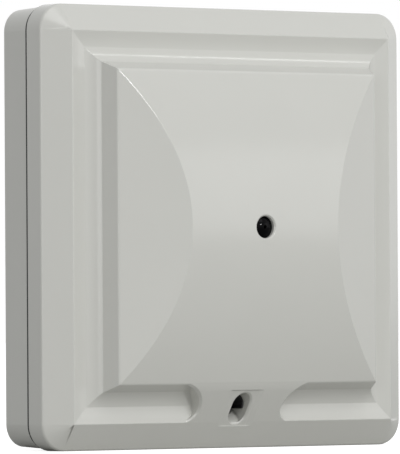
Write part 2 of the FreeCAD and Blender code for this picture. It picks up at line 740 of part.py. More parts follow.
def make_base():
    """Rear base that stays on the wall."""
    base = base_tray()
    screwed, pegged = post_places()
    added = [block(x, y, POST_W, POST_W, PLATE_T, BOARD_D) for x, y in screwed + pegged]
    added += [block(x, y, PEG_W, PEG_W, BOARD_D, BOARD_TOP_D + PEG_STAND) for x, y in pegged]
    added.append(block(0, SCREW_Y, BOSS_W, BOSS_W, PLATE_T, BOSS_TOP_D))
    entry_y = -HALF_H + WIRE_ENTRY_INSET
    added.append(box(-RIB_BASE_T / 2, RIB_BASE_T / 2, SCREW_Y, BOARD_Y1 - POST_INSET,
                     PLATE_T, PLATE_T + RIB_BASE_H))
    added.append(box(-BOARD_W / 2 + POST_INSET, BOARD_W / 2 - POST_INSET, -RIB_BASE_T / 2, RIB_BASE_T / 2,
                     PLATE_T, PLATE_T + RIB_BASE_H))
    base = base.multiFuse(added).removeSplitter()
    cuts = [rod(x, y, BOARD_SCREW_R, BOARD_SCREW_TIP - BORE_PAST_TIP, BOARD_D + PAST)
            for x, y in screwed]
    cuts.append(rod(0, SCREW_Y, COVER_SCREW_R + COVER_SCREW_CLEAR,
                    BOSS_TOP_D - BOSS_DEPTH, BOSS_TOP_D + PAST))
    for sx in (-1, 1):
        for sy in (-1, 1):
            x, y = sx * WALL_SCREW_X / 2, sy * WALL_SCREW_Y / 2
            cuts.append(obround(x, y, WALL_SCREW_SLOT, 2 * WALL_SCREW_R, -PAST, PLATE_T + PAST))
    cuts.append(obround(WIRE_ENTRY_X, entry_y, WIRE_ENTRY_W, WIRE_ENTRY_H, -PAST, PLATE_T + PAST))
    cuts.append(obround(-WIRE_ENTRY_X, entry_y, WIRE_ENTRY_W, WIRE_ENTRY_H,
                        KNOCKOUT_SKIN, PLATE_T + PAST))
    inner_face = HALF_W - LIP_IN_IN
    outer_face = HALF_W - BASE_STEP - BASE_DRAFT - KNOCKOUT_SKIN
    for side in (-1, 1):
        start, end = sorted((side * (inner_face - PAST), side * outer_face))
        cuts.append(box(start, end, -SIDE_KNOCKOUT_W / 2, SIDE_KNOCKOUT_W / 2,
                        PLATE_T, PLATE_T + SIDE_KNOCKOUT_H))
        cuts.append(hook(side, HOOK_W + 2 * HOOK_CLEAR, HOOK_R_IN - HOOK_CLEAR,
                         HOOK_R_IN + HOOK_T + HOOK_CLEAR, HOOK_TIP_ANGLE + HOOK_POCKET_OVER,
                         HOOK_ROOT_ANGLE))
    for cutter in cuts:
        base = base.cut(cutter)
    return base


def screw(x, y, seat, tip, radius, head_r, head_h):
    """Screw upright on its seat."""
    return rod(x, y, head_r, seat, seat + head_h).fuse(rod(x, y, radius, tip, seat))


def make_cover_screw():
    """Cover screw with the cross for its driver."""
    seat = BOSS_TOP_D + TUNNEL_CLEAR + TUNNEL_FLOOR
    top = seat + COVER_SCREW_HEAD_H
    body = screw(0, SCREW_Y, seat, BOSS_TOP_D - COVER_SCREW_GRIP, COVER_SCREW_R,
                 COVER_SCREW_HEAD_R, COVER_SCREW_HEAD_H)
    reach = 2 * (COVER_SCREW_HEAD_R - DRIVE_SLOT_EDGE)
    for width, height in ((reach, DRIVE_SLOT_W), (DRIVE_SLOT_W, reach)):
        body = body.cut(block(0, SCREW_Y, width, height, top - DRIVE_SLOT_DEPTH, top + PAST))
    return body


def make_board_screws():
    """Screws in the two upper posts."""
    return Part.makeCompound([screw(x, y, BOARD_TOP_D, BOARD_SCREW_TIP, BOARD_SCREW_R,
                                    BOARD_SCREW_HEAD_R, BOARD_SCREW_HEAD_H) for x, y in post_places()[0]])


def make_board():
    """Circuit board with round holes for its screws and square ones for the pegs."""
    board = rounded_prism(BOARD_W / 2, (BOARD_Y1 - BOARD_Y0) / 2, BOARD_CORNER_R, BOARD_D, BOARD_TOP_D)
    board.translate(vec(0, BOARD_MID_Y, 0))
    screwed, pegged = post_places()
    low, high = BOARD_D - PAST, BOARD_TOP_D + PAST
    holes = [rod(x, y, BOARD_HOLE_R, low, high) for x, y in screwed]
    holes += [block(x, y, PEG_W, PEG_W, low, high) for x, y in pegged]
    for hole in holes:
        board = board.cut(hole)
    return board


def make_boot():
    """Rubber sleeve round the microphone, standing above its front."""
    boot = rod(0, 0, MIC_R + BOOT_T, BOARD_TOP_D, BOOT_TOP_D)
    return boot.cut(rod(0, 0, MIC_R, BOARD_TOP_D - PAST, BOOT_TOP_D + PAST))


def terminal_places():
    """Centre of each terminal along the block."""
    start = -(TERMINAL_COUNT - 1) * TERMINAL_PITCH / 2
    return [start + index * TERMINAL_PITCH for index in range(TERMINAL_COUNT)]


def make_terminal_block():
    """Terminal housing with a wire mouth and a screw well at each place."""
    y0, y1 = BOARD_Y0 + TERMINAL_EDGE, BOARD_Y0 + TERMINAL_EDGE + TERMINAL_D
    top = BOARD_TOP_D + TERMINAL_H
    half = TERMINAL_COUNT * TERMINAL_PITCH / 2
    body = section_solid([(y0, BOARD_TOP_D), (y1, BOARD_TOP_D), (y1, top - TERMINAL_BEVEL),
                          (y1 - TERMINAL_BEVEL, top), (y0 + TERMINAL_BEVEL, top),
                          (y0, top - TERMINAL_BEVEL)], "x", half)
    well_y = terminal_screw_y()
    mouth_low = BOARD_TOP_D + MOUTH_FLOOR
    for x in terminal_places():
        body = body.cut(box(x - MOUTH_W / 2, x + MOUTH_W / 2, y0 - PAST, y0 + MOUTH_DEPTH,
                            mouth_low, mouth_low + MOUTH_H))
        body = body.cut(rod(x, well_y, TERMINAL_SCREW_R + TERMINAL_WELL_CLEAR,
                            mouth_low + MOUTH_H - PAST, top + PAST))
    return body


def terminal_screw_y():
    """Line on which the terminal screws stand."""
    return BOARD_Y0 + TERMINAL_EDGE + TERMINAL_D / 2


def make_terminal_clamps():
    """Plates under the terminal screws, one at the roof of each mouth."""
    high = BOARD_TOP_D + MOUTH_FLOOR + MOUTH_H
    inner = BOARD_Y0 + TERMINAL_EDGE + MOUTH_DEPTH
    outer = 2 * terminal_screw_y() - inner
    half = MOUTH_W / 2 - CLAMP_CLEAR
    return Part.makeCompound([box(x - half, x + half, outer, inner, high - CLAMP_T, high)
                              for x in terminal_places()])


def make_terminal_screws():
    """Headless screw on each plate."""
    foot = BOARD_TOP_D + MOUTH_FLOOR + MOUTH_H
    return Part.makeCompound([rod(x, terminal_screw_y(), TERMINAL_SCREW_R, foot, foot + TERMINAL_SCREW_L)
                              for x in terminal_places()])


def dip_places():
    """Centre of each slider across the option switch."""
    start = DIP_X - (DIP_COUNT - 1) * DIP_PITCH / 2
    return [start + index * DIP_PITCH for index in range(DIP_COUNT)]


def make_dip_body():
    """Option switch housing with one slot for each slider."""
    top = BOARD_TOP_D + DIP_H
    body = block(DIP_X, DIP_Y, DIP_W, DIP_D, BOARD_TOP_D, top)
    for x in dip_places():
        body = body.cut(block(x, DIP_Y, DIP_SLOT_W, DIP_SLOT_L, top - DIP_SLOT_DEPTH, top + PAST))
    return body


def make_dip_slider(x):
    """Slider at its lower end, a knob on a foot that runs in the slot."""
    top = BOARD_TOP_D + DIP_H
    y0 = DIP_Y - DIP_SLOT_L / 2 + DIP_SIDE_CLEAR
    half = DIP_SLOT_W / 2 - DIP_SIDE_CLEAR
    floor = top - DIP_SLOT_DEPTH + DIP_FOOT
    knob = box(x - half, x + half, y0, y0 + DIP_KNOB_L, floor, top + DIP_KNOB_STAND)
    edges = [edge for edge in knob.Edges
             if abs(edge.BoundBox.ZMin - top - DIP_KNOB_STAND) < 1e-6 and edge.BoundBox.ZLength < 1e-6
             and edge.BoundBox.XLength > half]
    return knob.makeChamfer(DIP_KNOB_BREAK, edges)


def make_tamper_body():
    """Tamper switch housing with the bore for its plunger."""
    top = BOARD_TOP_D + TAMPER_H
    body = block(TAMPER_X, TAMPER_Y, TAMPER_W, TAMPER_W, BOARD_TOP_D, top)
    return body.cut(rod(TAMPER_X, TAMPER_Y, PLUNGER_R + PLUNGER_CLEAR,
                        top - PLUNGER_SUNK - PLUNGER_FLOOR, top + PAST))


def make_plunger():
    """Plunger held down by the cover's post."""
    low = BOARD_TOP_D + TAMPER_H - PLUNGER_SUNK
    return rod(TAMPER_X, TAMPER_Y, PLUNGER_R, low, PLUNGER_TOP_D)


def make_relay():
    """Sealed alarm relay on four short feet."""
    low = BOARD_TOP_D + RELAY_FOOT
    reach_x, reach_y = RELAY_W / 2 - RELAY_FOOT_W, RELAY_L / 2 - RELAY_FOOT_W
    feet = [block(RELAY_X + sx * reach_x, RELAY_Y + sy * reach_y, RELAY_FOOT_W, RELAY_FOOT_W, BOARD_TOP_D, low)
            for sx in (-1, 1) for sy in (-1, 1)]
    return block(RELAY_X, RELAY_Y, RELAY_W, RELAY_L, low, low + RELAY_H).multiFuse(feet)


def make_chip(spec, y):
    """Moulded chip with a row of bent leads along each long side."""
    low, top = BOARD_TOP_D + LEAD_T, BOARD_TOP_D + spec["height"]
    half_w = spec["width"] / 2
    pieces = [tapered_block(spec["x"], y, spec["length"], spec["width"], CHIP_BEVEL, low, top)]
    start = spec["x"] - (spec["leads"] - 1) * LEAD_PITCH / 2
    for index in range(spec["leads"]):
        x = start + index * LEAD_PITCH
        for side in (-1, 1):
            root = y + side * (half_w - CHIP_BEVEL)
            bend = y + side * (half_w + LEAD_REACH / 2)
            foot = y + side * (half_w + LEAD_REACH)
            rise = BOARD_TOP_D + LEAD_RISE
            points = [(root, rise), (bend, rise), (bend, BOARD_TOP_D), (foot, BOARD_TOP_D),
                      (foot, BOARD_TOP_D + LEAD_T), (bend + side * LEAD_T, BOARD_TOP_D + LEAD_T),
                      (bend + side * LEAD_T, rise + LEAD_T), (root, rise + LEAD_T)]
            lead = section_solid(points, "x", LEAD_W / 2)
            lead.translate(vec(x, 0, 0))
            pieces.append(lead)
    return pieces[0].multiFuse(pieces[1:]).removeSplitter()


def make_regulator():
    """Voltage regulator with its wide tab and three legs."""
    low, top = BOARD_TOP_D + LEAD_T / 2, BOARD_TOP_D + REGULATOR_H
    half_w = REGULATOR_W / 2
    body = tapered_block(REGULATOR_X, REGULATOR_Y, REGULATOR_L, REGULATOR_W, CHIP_BEVEL, low, top)
    tab = box(REGULATOR_X - REGULATOR_TAB_W / 2, REGULATOR_X + REGULATOR_TAB_W / 2,
              REGULATOR_Y, REGULATOR_Y + half_w + REGULATOR_TAB_REACH, BOARD_TOP_D, BOARD_TOP_D + LEAD_T)
    legs = [block(REGULATOR_X + index * REGULATOR_PITCH, REGULATOR_Y - half_w / 2 - REGULATOR_TAB_REACH / 2,
                  LEAD_W * 2, half_w + REGULATOR_TAB_REACH, BOARD_TOP_D, BOARD_TOP_D + LEAD_T)
            for index in (-1, 0, 1)]
    return body.multiFuse([tab] + legs).removeSplitter()


def make_crystal():
    """Crystal can on its base plate."""
    y = BOARD_Y0 + CRYSTAL_UP
    plate_top = BOARD_TOP_D + CRYSTAL_PLATE_T
    plate = block(CRYSTAL_X, y, CRYSTAL_L, CRYSTAL_W, BOARD_TOP_D, plate_top)
    can = obround(CRYSTAL_X, y, CRYSTAL_L - 2 * CRYSTAL_EDGE, CRYSTAL_W - 2 * CRYSTAL_EDGE,
                  plate_top, BOARD_TOP_D + CRYSTAL_H)
    return plate.fuse(can)


def make_capacitors():
    """Electrolytic cans, each on its square foot with two cut corners."""
    made = []
    y = BOARD_Y0 + CAN_UP
    for x in CAN_X:
        foot_top = BOARD_TOP_D + CAN_FOOT
        can = rod(x, y, CAN_R, foot_top, BOARD_TOP_D + CAN_H)
        foot = block(x, y, 2 * CAN_R, 2 * CAN_R, BOARD_TOP_D, foot_top)
        corners = [edge for edge in foot.Edges if edge.BoundBox.ZLength > CAN_FOOT / 2
                   and edge.BoundBox.YMin > y]
        made.append(foot.makeChamfer(CAN_FOOT, corners).fuse(can).removeSplitter())
    return Part.makeCompound(made)


def make_diodes():
    """Moulded diodes with a tab at each end."""
    made = []
    y = BOARD_Y0 + DIODE_UP
    for x in DIODE_X:
        low = BOARD_TOP_D + LEAD_T / 2
        body = tapered_block(x, y, DIODE_L, DIODE_W, CHIP_BEVEL, low, BOARD_TOP_D + DIODE_H)
        tabs = block(x, y, DIODE_L + 2 * DIODE_TAB, DIODE_TAB_W, BOARD_TOP_D, BOARD_TOP_D + LEAD_T)
        made.append(body.fuse(tabs).removeSplitter())
    return Part.makeCompound(made)


def make_small_chips(places, height):
    """Row of small two-ended chips."""
    return Part.makeCompound([block(x, y, CHIP_L, CHIP_W, BOARD_TOP_D, BOARD_TOP_D + height)
                              for x, y in places])


os.makedirs("parts", exist_ok=True)
export("base", make_base())
export("cover", make_cover())
export("cover_screw", make_cover_screw())
export("sound_grommet", make_grommet())
export("circuit_board", make_board())
export("board_screws", make_board_screws())
export("microphone", rod(0, 0, MIC_R, BOARD_TOP_D, MIC_TOP_D))
export("microphone_boot", make_boot())
export("microphone_felt", rod(0, 0, MIC_R, MIC_TOP_D, MIC_TOP_D + FELT_T))
export("terminal_block", make_terminal_block())
export("terminal_clamps", make_terminal_clamps())
export("terminal_screws", make_terminal_screws())
export("option_switch", make_dip_body())
for number, place in enumerate(dip_places(), 1):
    export("option_slider_" + str(number), make_dip_slider(place))
export("tamper_switch", make_tamper_body())
export("tamper_plunger", make_plunger())
export("relay", make_relay())
export("controller_chip", make_chip(CONTROLLER, BOARD_Y0 + CONTROLLER_UP))
export("amplifier_chip", make_chip(AMPLIFIER, AMPLIFIER_Y))
export("voltage_regulator", make_regulator())
export("crystal", make_crystal())
export("capacitors", make_capacitors())
export("diodes", make_diodes())
export("resistors", make_small_chips(CHIP_PLACES, CHIP_H))
export("chip_capacitors", make_small_chips(CHIP_CAP_PLACES, CHIP_CAP_H))
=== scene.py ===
"""Square wall sensor for breaking glass: the CAD frame dressed with its finishes and fine pieces."""
import logging
import math
from contextlib import contextmanager
from dataclasses import dataclass
from enum import Enum
from typing import Callable, Iterator, Sequence

import bmesh
import bpy
from mathutils import Matrix, Vector


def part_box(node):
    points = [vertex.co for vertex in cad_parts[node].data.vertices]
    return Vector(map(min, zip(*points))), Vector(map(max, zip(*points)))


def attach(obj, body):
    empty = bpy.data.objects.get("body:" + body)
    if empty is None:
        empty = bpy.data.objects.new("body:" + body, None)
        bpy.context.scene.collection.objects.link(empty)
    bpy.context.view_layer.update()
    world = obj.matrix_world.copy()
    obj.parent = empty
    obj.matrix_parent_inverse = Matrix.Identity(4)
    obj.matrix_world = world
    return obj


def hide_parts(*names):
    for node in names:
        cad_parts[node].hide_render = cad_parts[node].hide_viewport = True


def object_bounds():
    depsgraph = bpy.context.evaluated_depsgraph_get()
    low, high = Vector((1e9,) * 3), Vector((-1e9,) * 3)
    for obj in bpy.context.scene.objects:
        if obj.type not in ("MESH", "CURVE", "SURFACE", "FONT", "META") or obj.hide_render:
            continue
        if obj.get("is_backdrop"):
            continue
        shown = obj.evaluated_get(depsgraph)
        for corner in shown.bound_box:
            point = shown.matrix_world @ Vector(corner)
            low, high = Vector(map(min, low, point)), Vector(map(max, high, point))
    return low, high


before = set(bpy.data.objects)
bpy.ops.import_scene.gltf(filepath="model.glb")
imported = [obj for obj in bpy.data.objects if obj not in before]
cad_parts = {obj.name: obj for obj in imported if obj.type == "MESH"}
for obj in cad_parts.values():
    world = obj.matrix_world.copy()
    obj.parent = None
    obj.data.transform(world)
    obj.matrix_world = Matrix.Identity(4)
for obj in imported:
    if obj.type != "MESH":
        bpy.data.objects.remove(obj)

LOG = logging.getLogger("sensor")
MM = 0.001
# Points nearer than the first are one point, and faces nearer than the second lie at one level
TOUCH = 0.001 * MM
NEAR = 0.01 * MM
# A face this square to an axis counts as facing along it
SQUARE = 0.9
# Edges sharper than this are corners, and edges sharper than the others stay sharp in the shading
CORNER_DEGREES = 30.0
SHARP_DEGREES = 35.0
MOULDED_DEGREES = 25.0
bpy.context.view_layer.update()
Box = tuple[Vector, Vector]
EdgeTest = Callable[[bmesh.types.BMEdge], bool]
FaceTest = Callable[[bmesh.types.BMFace], bool]


# Modelling by hand

def take(piece: bpy.types.Object) -> None:
    """Makes one piece the only selected one."""
    bpy.ops.object.select_all(action="DESELECT")
    piece.select_set(True)
    bpy.context.view_layer.objects.active = piece


@contextmanager
def editing(piece: bpy.types.Object, element: str = "FACE") -> Iterator[None]:
    """Opens a piece in edit mode with nothing selected, and closes it again.

    Args:
        piece: the piece to work on.
        element: VERT, EDGE or FACE.
    """
    take(piece)
    bpy.ops.object.mode_set(mode="EDIT")
    bpy.ops.mesh.select_mode(type=element)
    bpy.ops.mesh.select_all(action="DESELECT")
    yield
    bpy.ops.object.mode_set(mode="OBJECT")


def pick_faces(piece: bpy.types.Object, test: FaceTest) -> None:
    """Selects only the faces that pass a test, in edit mode.

    Args:
        piece: the piece in edit mode.
        test: says whether a face is wanted.
    """
    bpy.ops.mesh.select_all(action="DESELECT")
    mesh = bmesh.from_edit_mesh(piece.data)
    for face in mesh.faces:
        if test(face):
            face.select_set(True)
    bmesh.update_edit_mesh(piece.data)


def pick_edges(piece: bpy.types.Object, test: EdgeTest) -> None:
    """Selects only the edges that pass a test, in edit mode.

    Args:
        piece: the piece in edit mode.
        test: says whether an edge is wanted.
    """
    bpy.ops.mesh.select_all(action="DESELECT")
    mesh = bmesh.from_edit_mesh(piece.data)
    for edge in mesh.edges:
        if test(edge):
            edge.select_set(True)
    bmesh.update_edit_mesh(piece.data)


def start_block(name: str, low: Vector, high: Vector) -> bpy.types.Object:
    """Adds a cube primitive between two corners.

    Args:
        name: name of the piece.
        low: lowest corner.
        high: highest corner.

    Returns:
        The piece, with its place in its mesh.
    """
    bpy.ops.object.select_all(action="DESELECT")
    bpy.ops.mesh.primitive_cube_add(size=1.0, location=(low + high) / 2, scale=high - low)
    piece = bpy.context.object
    piece.name = name
    bpy.ops.object.transform_apply(location=True, rotation=True, scale=True)
    return piece


def start_point(name: str, place: Vector) -> bpy.types.Object:
    """Adds a piece of a single point, from which a line is drawn.

    Args:
        name: name of the piece.
        place: where the point lies.

    Returns:
        The piece.
    """
    bpy.ops.object.select_all(action="DESELECT")
    bpy.ops.mesh.primitive_plane_add(size=MM, location=place)
    piece = bpy.context.object
    piece.name = name
    bpy.ops.object.transform_apply(location=True, rotation=True, scale=True)
    with editing(piece, "VERT"):
        bpy.ops.mesh.select_all(action="SELECT")
        bpy.ops.mesh.merge(type="CENTER")
    return piece


def draw_on(points: Sequence[Vector]) -> None:
    """Extrudes the selected point along a line of points, in edit mode.

    Args:
        points: the line, from the selected point on.
    """
    for start, end in zip(points, points[1:]):
        bpy.ops.mesh.extrude_vertices_move(TRANSFORM_OT_translate={"value": end - start})


def turned(name: str, profile: Sequence[tuple[float, float]], place: Vector, sides: int,
           ring: bool = False) -> bpy.types.Object:
    """Turns a profile about an axis that points out of the wall.

    Args:
        name: name of the piece.
        profile: radius and reach out of the wall of each point; a solid starts and ends on the axis.
        place: point on the axis from which the reach counts.
        sides: steps round the axis.
        ring: whether the profile closes on its first point.

    Returns:
        The turned piece, closed and facing outwards.
    """
    points = [place + Vector((radius, -reach, 0)) for radius, reach in profile]
    if ring:
        points.append(points[0])
    piece = start_point(name, points[0])
    with editing(piece, "VERT"):
        bpy.ops.mesh.select_all(action="SELECT")
        draw_on(points)
        bpy.ops.mesh.select_all(action="SELECT")
        bpy.ops.mesh.spin(steps=sides, angle=2 * math.pi, center=place, axis=(0, 1, 0))
        bpy.ops.mesh.select_all(action="SELECT")
        bpy.ops.mesh.remove_doubles(threshold=TOUCH)
        bpy.ops.mesh.normals_make_consistent(inside=False)
    return piece


def ribbon(name: str, path: Sequence[Vector], across: Vector, thickness: float) -> bpy.types.Object:
    """Bends a strip of sheet metal along a path.

    Args:
        name: name of the piece.
        path: points along one edge of the strip.
        across: from that edge to the other.
        thickness: thickness of the sheet, to both sides of the path.

    Returns:
        The closed strip.
    """
    piece = start_point(name, path[0])
    with editing(piece, "VERT"):
        bpy.ops.mesh.select_all(action="SELECT")
        draw_on(path)
        bpy.ops.mesh.select_mode(type="EDGE")
        bpy.ops.mesh.select_all(action="SELECT")
        bpy.ops.mesh.extrude_region_move(TRANSFORM_OT_translate={"value": across})
    sheet = piece.modifiers.new("sheet", "SOLIDIFY")
    sheet.thickness, sheet.offset, sheet.use_even_offset = thickness, 0.0, True
    bpy.ops.object.modifier_apply(modifier=sheet.name)
    with editing(piece):
        bpy.ops.mesh.select_all(action="SELECT")
        bpy.ops.mesh.normals_make_consistent(inside=False)
    return piece


def round_edges(piece: bpy.types.Object, width: float, segments: int, test: EdgeTest) -> None:
    """Bevels the edges that pass a test.

    Args:
        piece: the piece.
        width: reach of the bevel from each edge.
        segments: steps across the bevel.
        test: says whether an edge is wanted.
    """
    with editing(piece, "EDGE"):
        pick_edges(piece, test)
        bpy.ops.mesh.bevel(offset=width, segments=segments, affect="EDGES", clamp_overlap=True)


def is_upright(edge: bmesh.types.BMEdge) -> bool:
    """True for an edge that stands off the board."""
    run = edge.verts[0].co - edge.verts[1].co
    return abs(run.y) > abs(run.x) + abs(run.z)


def is_sharp(edge: bmesh.types.BMEdge) -> bool:
    """True for an edge that is a corner."""
    return edge.calc_face_angle(0.0) > math.radians(CORNER_DEGREES)


def is_front(piece: bpy.types.Object) -> EdgeTest:
    """Gives the test for the edges round a piece's front."""
    front = min(vertex.co.y for vertex in piece.data.vertices)
    return lambda edge: all(abs(vertex.co.y - front) < TOUCH for vertex in edge.verts)


def carve(piece: bpy.types.Object, cutter: bpy.types.Object) -> None:
    """Cuts one piece out of another and removes the cutter.

    Args:
        piece: the piece that stays.
        cutter: the piece that is taken away.
    """
    take(piece)
    cut = piece.modifiers.new("cut", "BOOLEAN")
    cut.operation, cut.solver, cut.object = "DIFFERENCE", "EXACT", cutter
    bpy.ops.object.modifier_apply(modifier=cut.name)
    bpy.data.objects.remove(cutter)


def copied(piece: bpy.types.Object, name: str, shift: Vector = Vector((0, 0, 0)),
           half_turn: Vector | None = None) -> bpy.types.Object:
    """Copies a piece with its own mesh.

    Args:
        piece: the piece to copy.
        name: name of the copy.
        shift: how far the copy moves.
        half_turn: point about which the copy first turns by half a circle, in the wall's plane.

    Returns:
        The copy, with its place in its mesh.
    """
    take(piece)
    bpy.ops.object.duplicate(linked=False)
    made = bpy.context.object
    made.name = name
    place = Matrix.Translation(shift)
    if half_turn is not None:
        turn = Matrix.Rotation(math.pi, 4, "Y")
        place = place @ Matrix.Translation(half_turn) @ turn @ Matrix.Translation(-half_turn)
    made.matrix_world = place
    bpy.ops.object.transform_apply(location=True, rotation=True, scale=True)
    return made


def joined(name: str, pieces: Sequence[bpy.types.Object]) -> bpy.types.Object:
    """Joins pieces into one, keeping each one's materials.

    Args:
        name: name of the whole.
        pieces: the pieces.

    Returns:
        The joined piece.
    """
    take(pieces[0])
    for piece in pieces[1:]:
        piece.select_set(True)
    bpy.ops.object.join()
    whole = bpy.context.object
    whole.name = name
    return whole


def smooth(piece: bpy.types.Object, angle: float = SHARP_DEGREES) -> None:
    """Shades a piece smooth, apart from edges sharper than an angle."""
    take(piece)
    bpy.ops.object.shade_smooth_by_angle(angle=math.radians(angle))


def paint(piece: bpy.types.Object, material: bpy.types.Material,
          test: Callable[[bpy.types.MeshPolygon], bool] | None = None) -> None:
    """Gives a piece a material, on all its faces or on those that pass a test.

    Args:
        piece: the piece.
        material: its finish.
        test: says whether a face is wanted.
    """
    piece.data.materials.append(material)
    index = len(piece.data.materials) - 1
    for face in piece.data.polygons:
        if test is None or test(face):
            face.material_index = index


def seat(piece: bpy.types.Object, body: str, slot: str, *nodes: str) -> None:
    """Ties a finished piece to the body that carries it.

    Args:
        piece: the piece.
        body: the body that it rides on.
        slot: not used.
        nodes: the CAD nodes that it stands for.
    """
    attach(piece, body)
    if nodes:
        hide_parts(*nodes)
    LOG.info("%s: %d faces on %s", piece.name, len(piece.data.polygons), body)


def solids_of(node: str) -> list[Box]:
    """Finds the box of each separate solid in a CAD node.

    Args:
        node: name of the node.

    Returns:
        The lowest and highest corner of each solid, from left to right and upwards.
    """
    mesh = bmesh.new()
    mesh.from_mesh(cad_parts[node].data)
    bmesh.ops.remove_doubles(mesh, verts=mesh.verts, dist=TOUCH)
    left, boxes = set(mesh.verts), []
    while left:
        group, edge_of_group = [], [left.pop()]
        while edge_of_group:
            vertex = edge_of_group.pop()
            group.append(vertex.co.copy())
            beside = {edge.other_vert(vertex) for edge in vertex.link_edges} & left
            edge_of_group += beside
            left -= beside
        boxes.append((Vector([min(place[axis] for place in group) for axis in range(3)]),
                      Vector([max(place[axis] for place in group) for axis in range(3)])))
    mesh.free()
    return sorted(boxes, key=lambda corners: (round(corners[0].x, 5), round(corners[0].z, 5)))


def middle(box: Box) -> Vector:
    """Centre of a box."""
    return (box[0] + box[1]) / 2


def axis_of(box: Box) -> Vector:
    """Point on the wall behind the centre of a box."""
    centre = middle(box)
    return Vector((centre.x, 0, centre.z))


# Finishes

def linear(colour: str) -> tuple[float, float, float, float]:
    """Turns an sRGB colour into linear light.

    Args:
        colour: hex colour such as "#C8C9C4".

    Returns:
        Red, green, blue and an alpha of one.
    """
    channels = [int(colour[start:start + 2], 16) / 255 for start in (1, 3, 5)]
    red, green, blue = [value / 12.92 if value <= 0.04045 else ((value + 0.055) / 1.055) ** 2.4
                        for value in channels]
    return red, green, blue, 1.0


def add_node(tree: bpy.types.NodeTree, kind: str, settings: dict | None = None,
             inputs: dict | None = None) -> bpy.types.Node:
    """Adds one node with its settings and links.

    Args:
        tree: node tree that gets the node.
        kind: Blender's name for the node's type.
        settings: attributes to set on the node.
        inputs: a value or an output socket for each input, by name or index.

    Returns:
        The new node.
    """
    node = tree.nodes.new(kind)
    for name, value in (settings or {}).items():
        setattr(node, name, value)
    for name, value in (inputs or {}).items():
        if isinstance(value, bpy.types.NodeSocket):
            tree.links.new(value, node.inputs[name])
        else:
            node.inputs[name].default_value = value
    return node


def start_material(name: str) -> tuple[bpy.types.Material, bpy.types.NodeTree, bpy.types.Node,
                                       bpy.types.NodeSocket]:
    """Makes an empty material with its shader.

    Args:
        name: name of the finish.

    Returns:
        The material, its tree, its shader node and the Object coordinates.
    """
    material = bpy.data.materials.new(name)
    material.use_nodes = True
    tree = material.node_tree
    tree.nodes.clear()
    shader = add_node(tree, "ShaderNodeBsdfPrincipled")
    add_node(tree, "ShaderNodeOutputMaterial", inputs={"Surface": shader.outputs["BSDF"]})
    place = add_node(tree, "ShaderNodeTexCoord").outputs["Object"]
    return material, tree, shader, place


@dataclass(frozen=True)
class MouldedPlastic:
    """Moulded plastic, resin or ceramic: a body colour with slow clouds, fine texture, softened edges."""

    name: str
    colour: str
    cloud: str
    roughness: float
    grain_mm: float
    grain_height_mm: float
    edge_mm: float
    cloud_mm: float = 14.0
    roughness_spread: float = 0.04
    ior: float = 1.53

    def build(self) -> bpy.types.Material:
        """Builds the material."""
        material, tree, shader, place = start_material(self.name)
        # Slow clouds, as pigment and the flow of the melt leave in a light moulding
        clouds = add_node(tree, "ShaderNodeTexNoise",
                          inputs={"Vector": place, "Scale": 1 / (self.cloud_mm * MM), "Detail": 4.0})
        tone = add_node(tree, "ShaderNodeMix", {"data_type": "RGBA"},
                        {0: clouds.outputs["Fac"], 6: linear(self.colour), 7: linear(self.cloud)})
        tree.links.new(tone.outputs[2], shader.inputs["Base Color"])
        # Fine texture of the mould, which breaks up the gloss
        grain = add_node(tree, "ShaderNodeTexNoise",
                         inputs={"Vector": place, "Scale": 1 / (self.grain_mm * MM), "Detail": 2.0})
        gloss = add_node(tree, "ShaderNodeMapRange",
                         inputs={"Value": grain.outputs["Fac"],
                                 "To Min": self.roughness - self.roughness_spread,
                                 "To Max": self.roughness + self.roughness_spread})
        tree.links.new(gloss.outputs["Result"], shader.inputs["Roughness"])
        soft = add_node(tree, "ShaderNodeBevel", {"samples": 6}, {"Radius": self.edge_mm * MM})
        bump = add_node(tree, "ShaderNodeBump",
                        inputs={"Strength": 1.0, "Distance": self.grain_height_mm * MM,
                                "Height": grain.outputs["Fac"], "Normal": soft.outputs["Normal"]})
        tree.links.new(bump.outputs["Normal"], shader.inputs["Normal"])
        shader.inputs["IOR"].default_value = self.ior
        return material


@dataclass(frozen=True)
class Metal:
    """Plated or drawn metal: a metal colour with fine wear in its gloss and softened edges."""

    name: str
    colour: str
    dull: str
    roughness: float
    grain_mm: float
    grain_height_mm: float = 0.002
    edge_mm: float = 0.08
    stretch: tuple[float, float, float] = (1.0, 1.0, 1.0)
    gloss_low: float = 0.7
    gloss_high: float = 1.4

    def build(self) -> bpy.types.Material:
        """Builds the material."""
        material, tree, shader, place = start_material(self.name)
        # Mottle of the plating, drawn out where the metal was drawn
        drawn = add_node(tree, "ShaderNodeMapping", inputs={"Vector": place, "Scale": self.stretch})
        grain = add_node(tree, "ShaderNodeTexNoise",
                         inputs={"Vector": drawn.outputs["Vector"], "Scale": 1 / (self.grain_mm * MM),
                                 "Detail": 5.0})
        tone = add_node(tree, "ShaderNodeMix", {"data_type": "RGBA"},
                        {0: grain.outputs["Fac"], 6: linear(self.colour), 7: linear(self.dull)})
        tree.links.new(tone.outputs[2], shader.inputs["Base Color"])
        gloss = add_node(tree, "ShaderNodeMapRange",
                         inputs={"Value": grain.outputs["Fac"], "To Min": self.roughness * self.gloss_low,
                                 "To Max": self.roughness * self.gloss_high})
        tree.links.new(gloss.outputs["Result"], shader.inputs["Roughness"])
        soft = add_node(tree, "ShaderNodeBevel", {"samples": 4}, {"Radius": self.edge_mm * MM})
        bump = add_node(tree, "ShaderNodeBump",
                        inputs={"Strength": 1.0, "Distance": self.grain_height_mm * MM,
                                "Height": grain.outputs["Fac"], "Normal": soft.outputs["Normal"]})
        tree.links.new(bump.outputs["Normal"], shader.inputs["Normal"])
        shader.inputs["Metallic"].default_value = 1.0
        return material


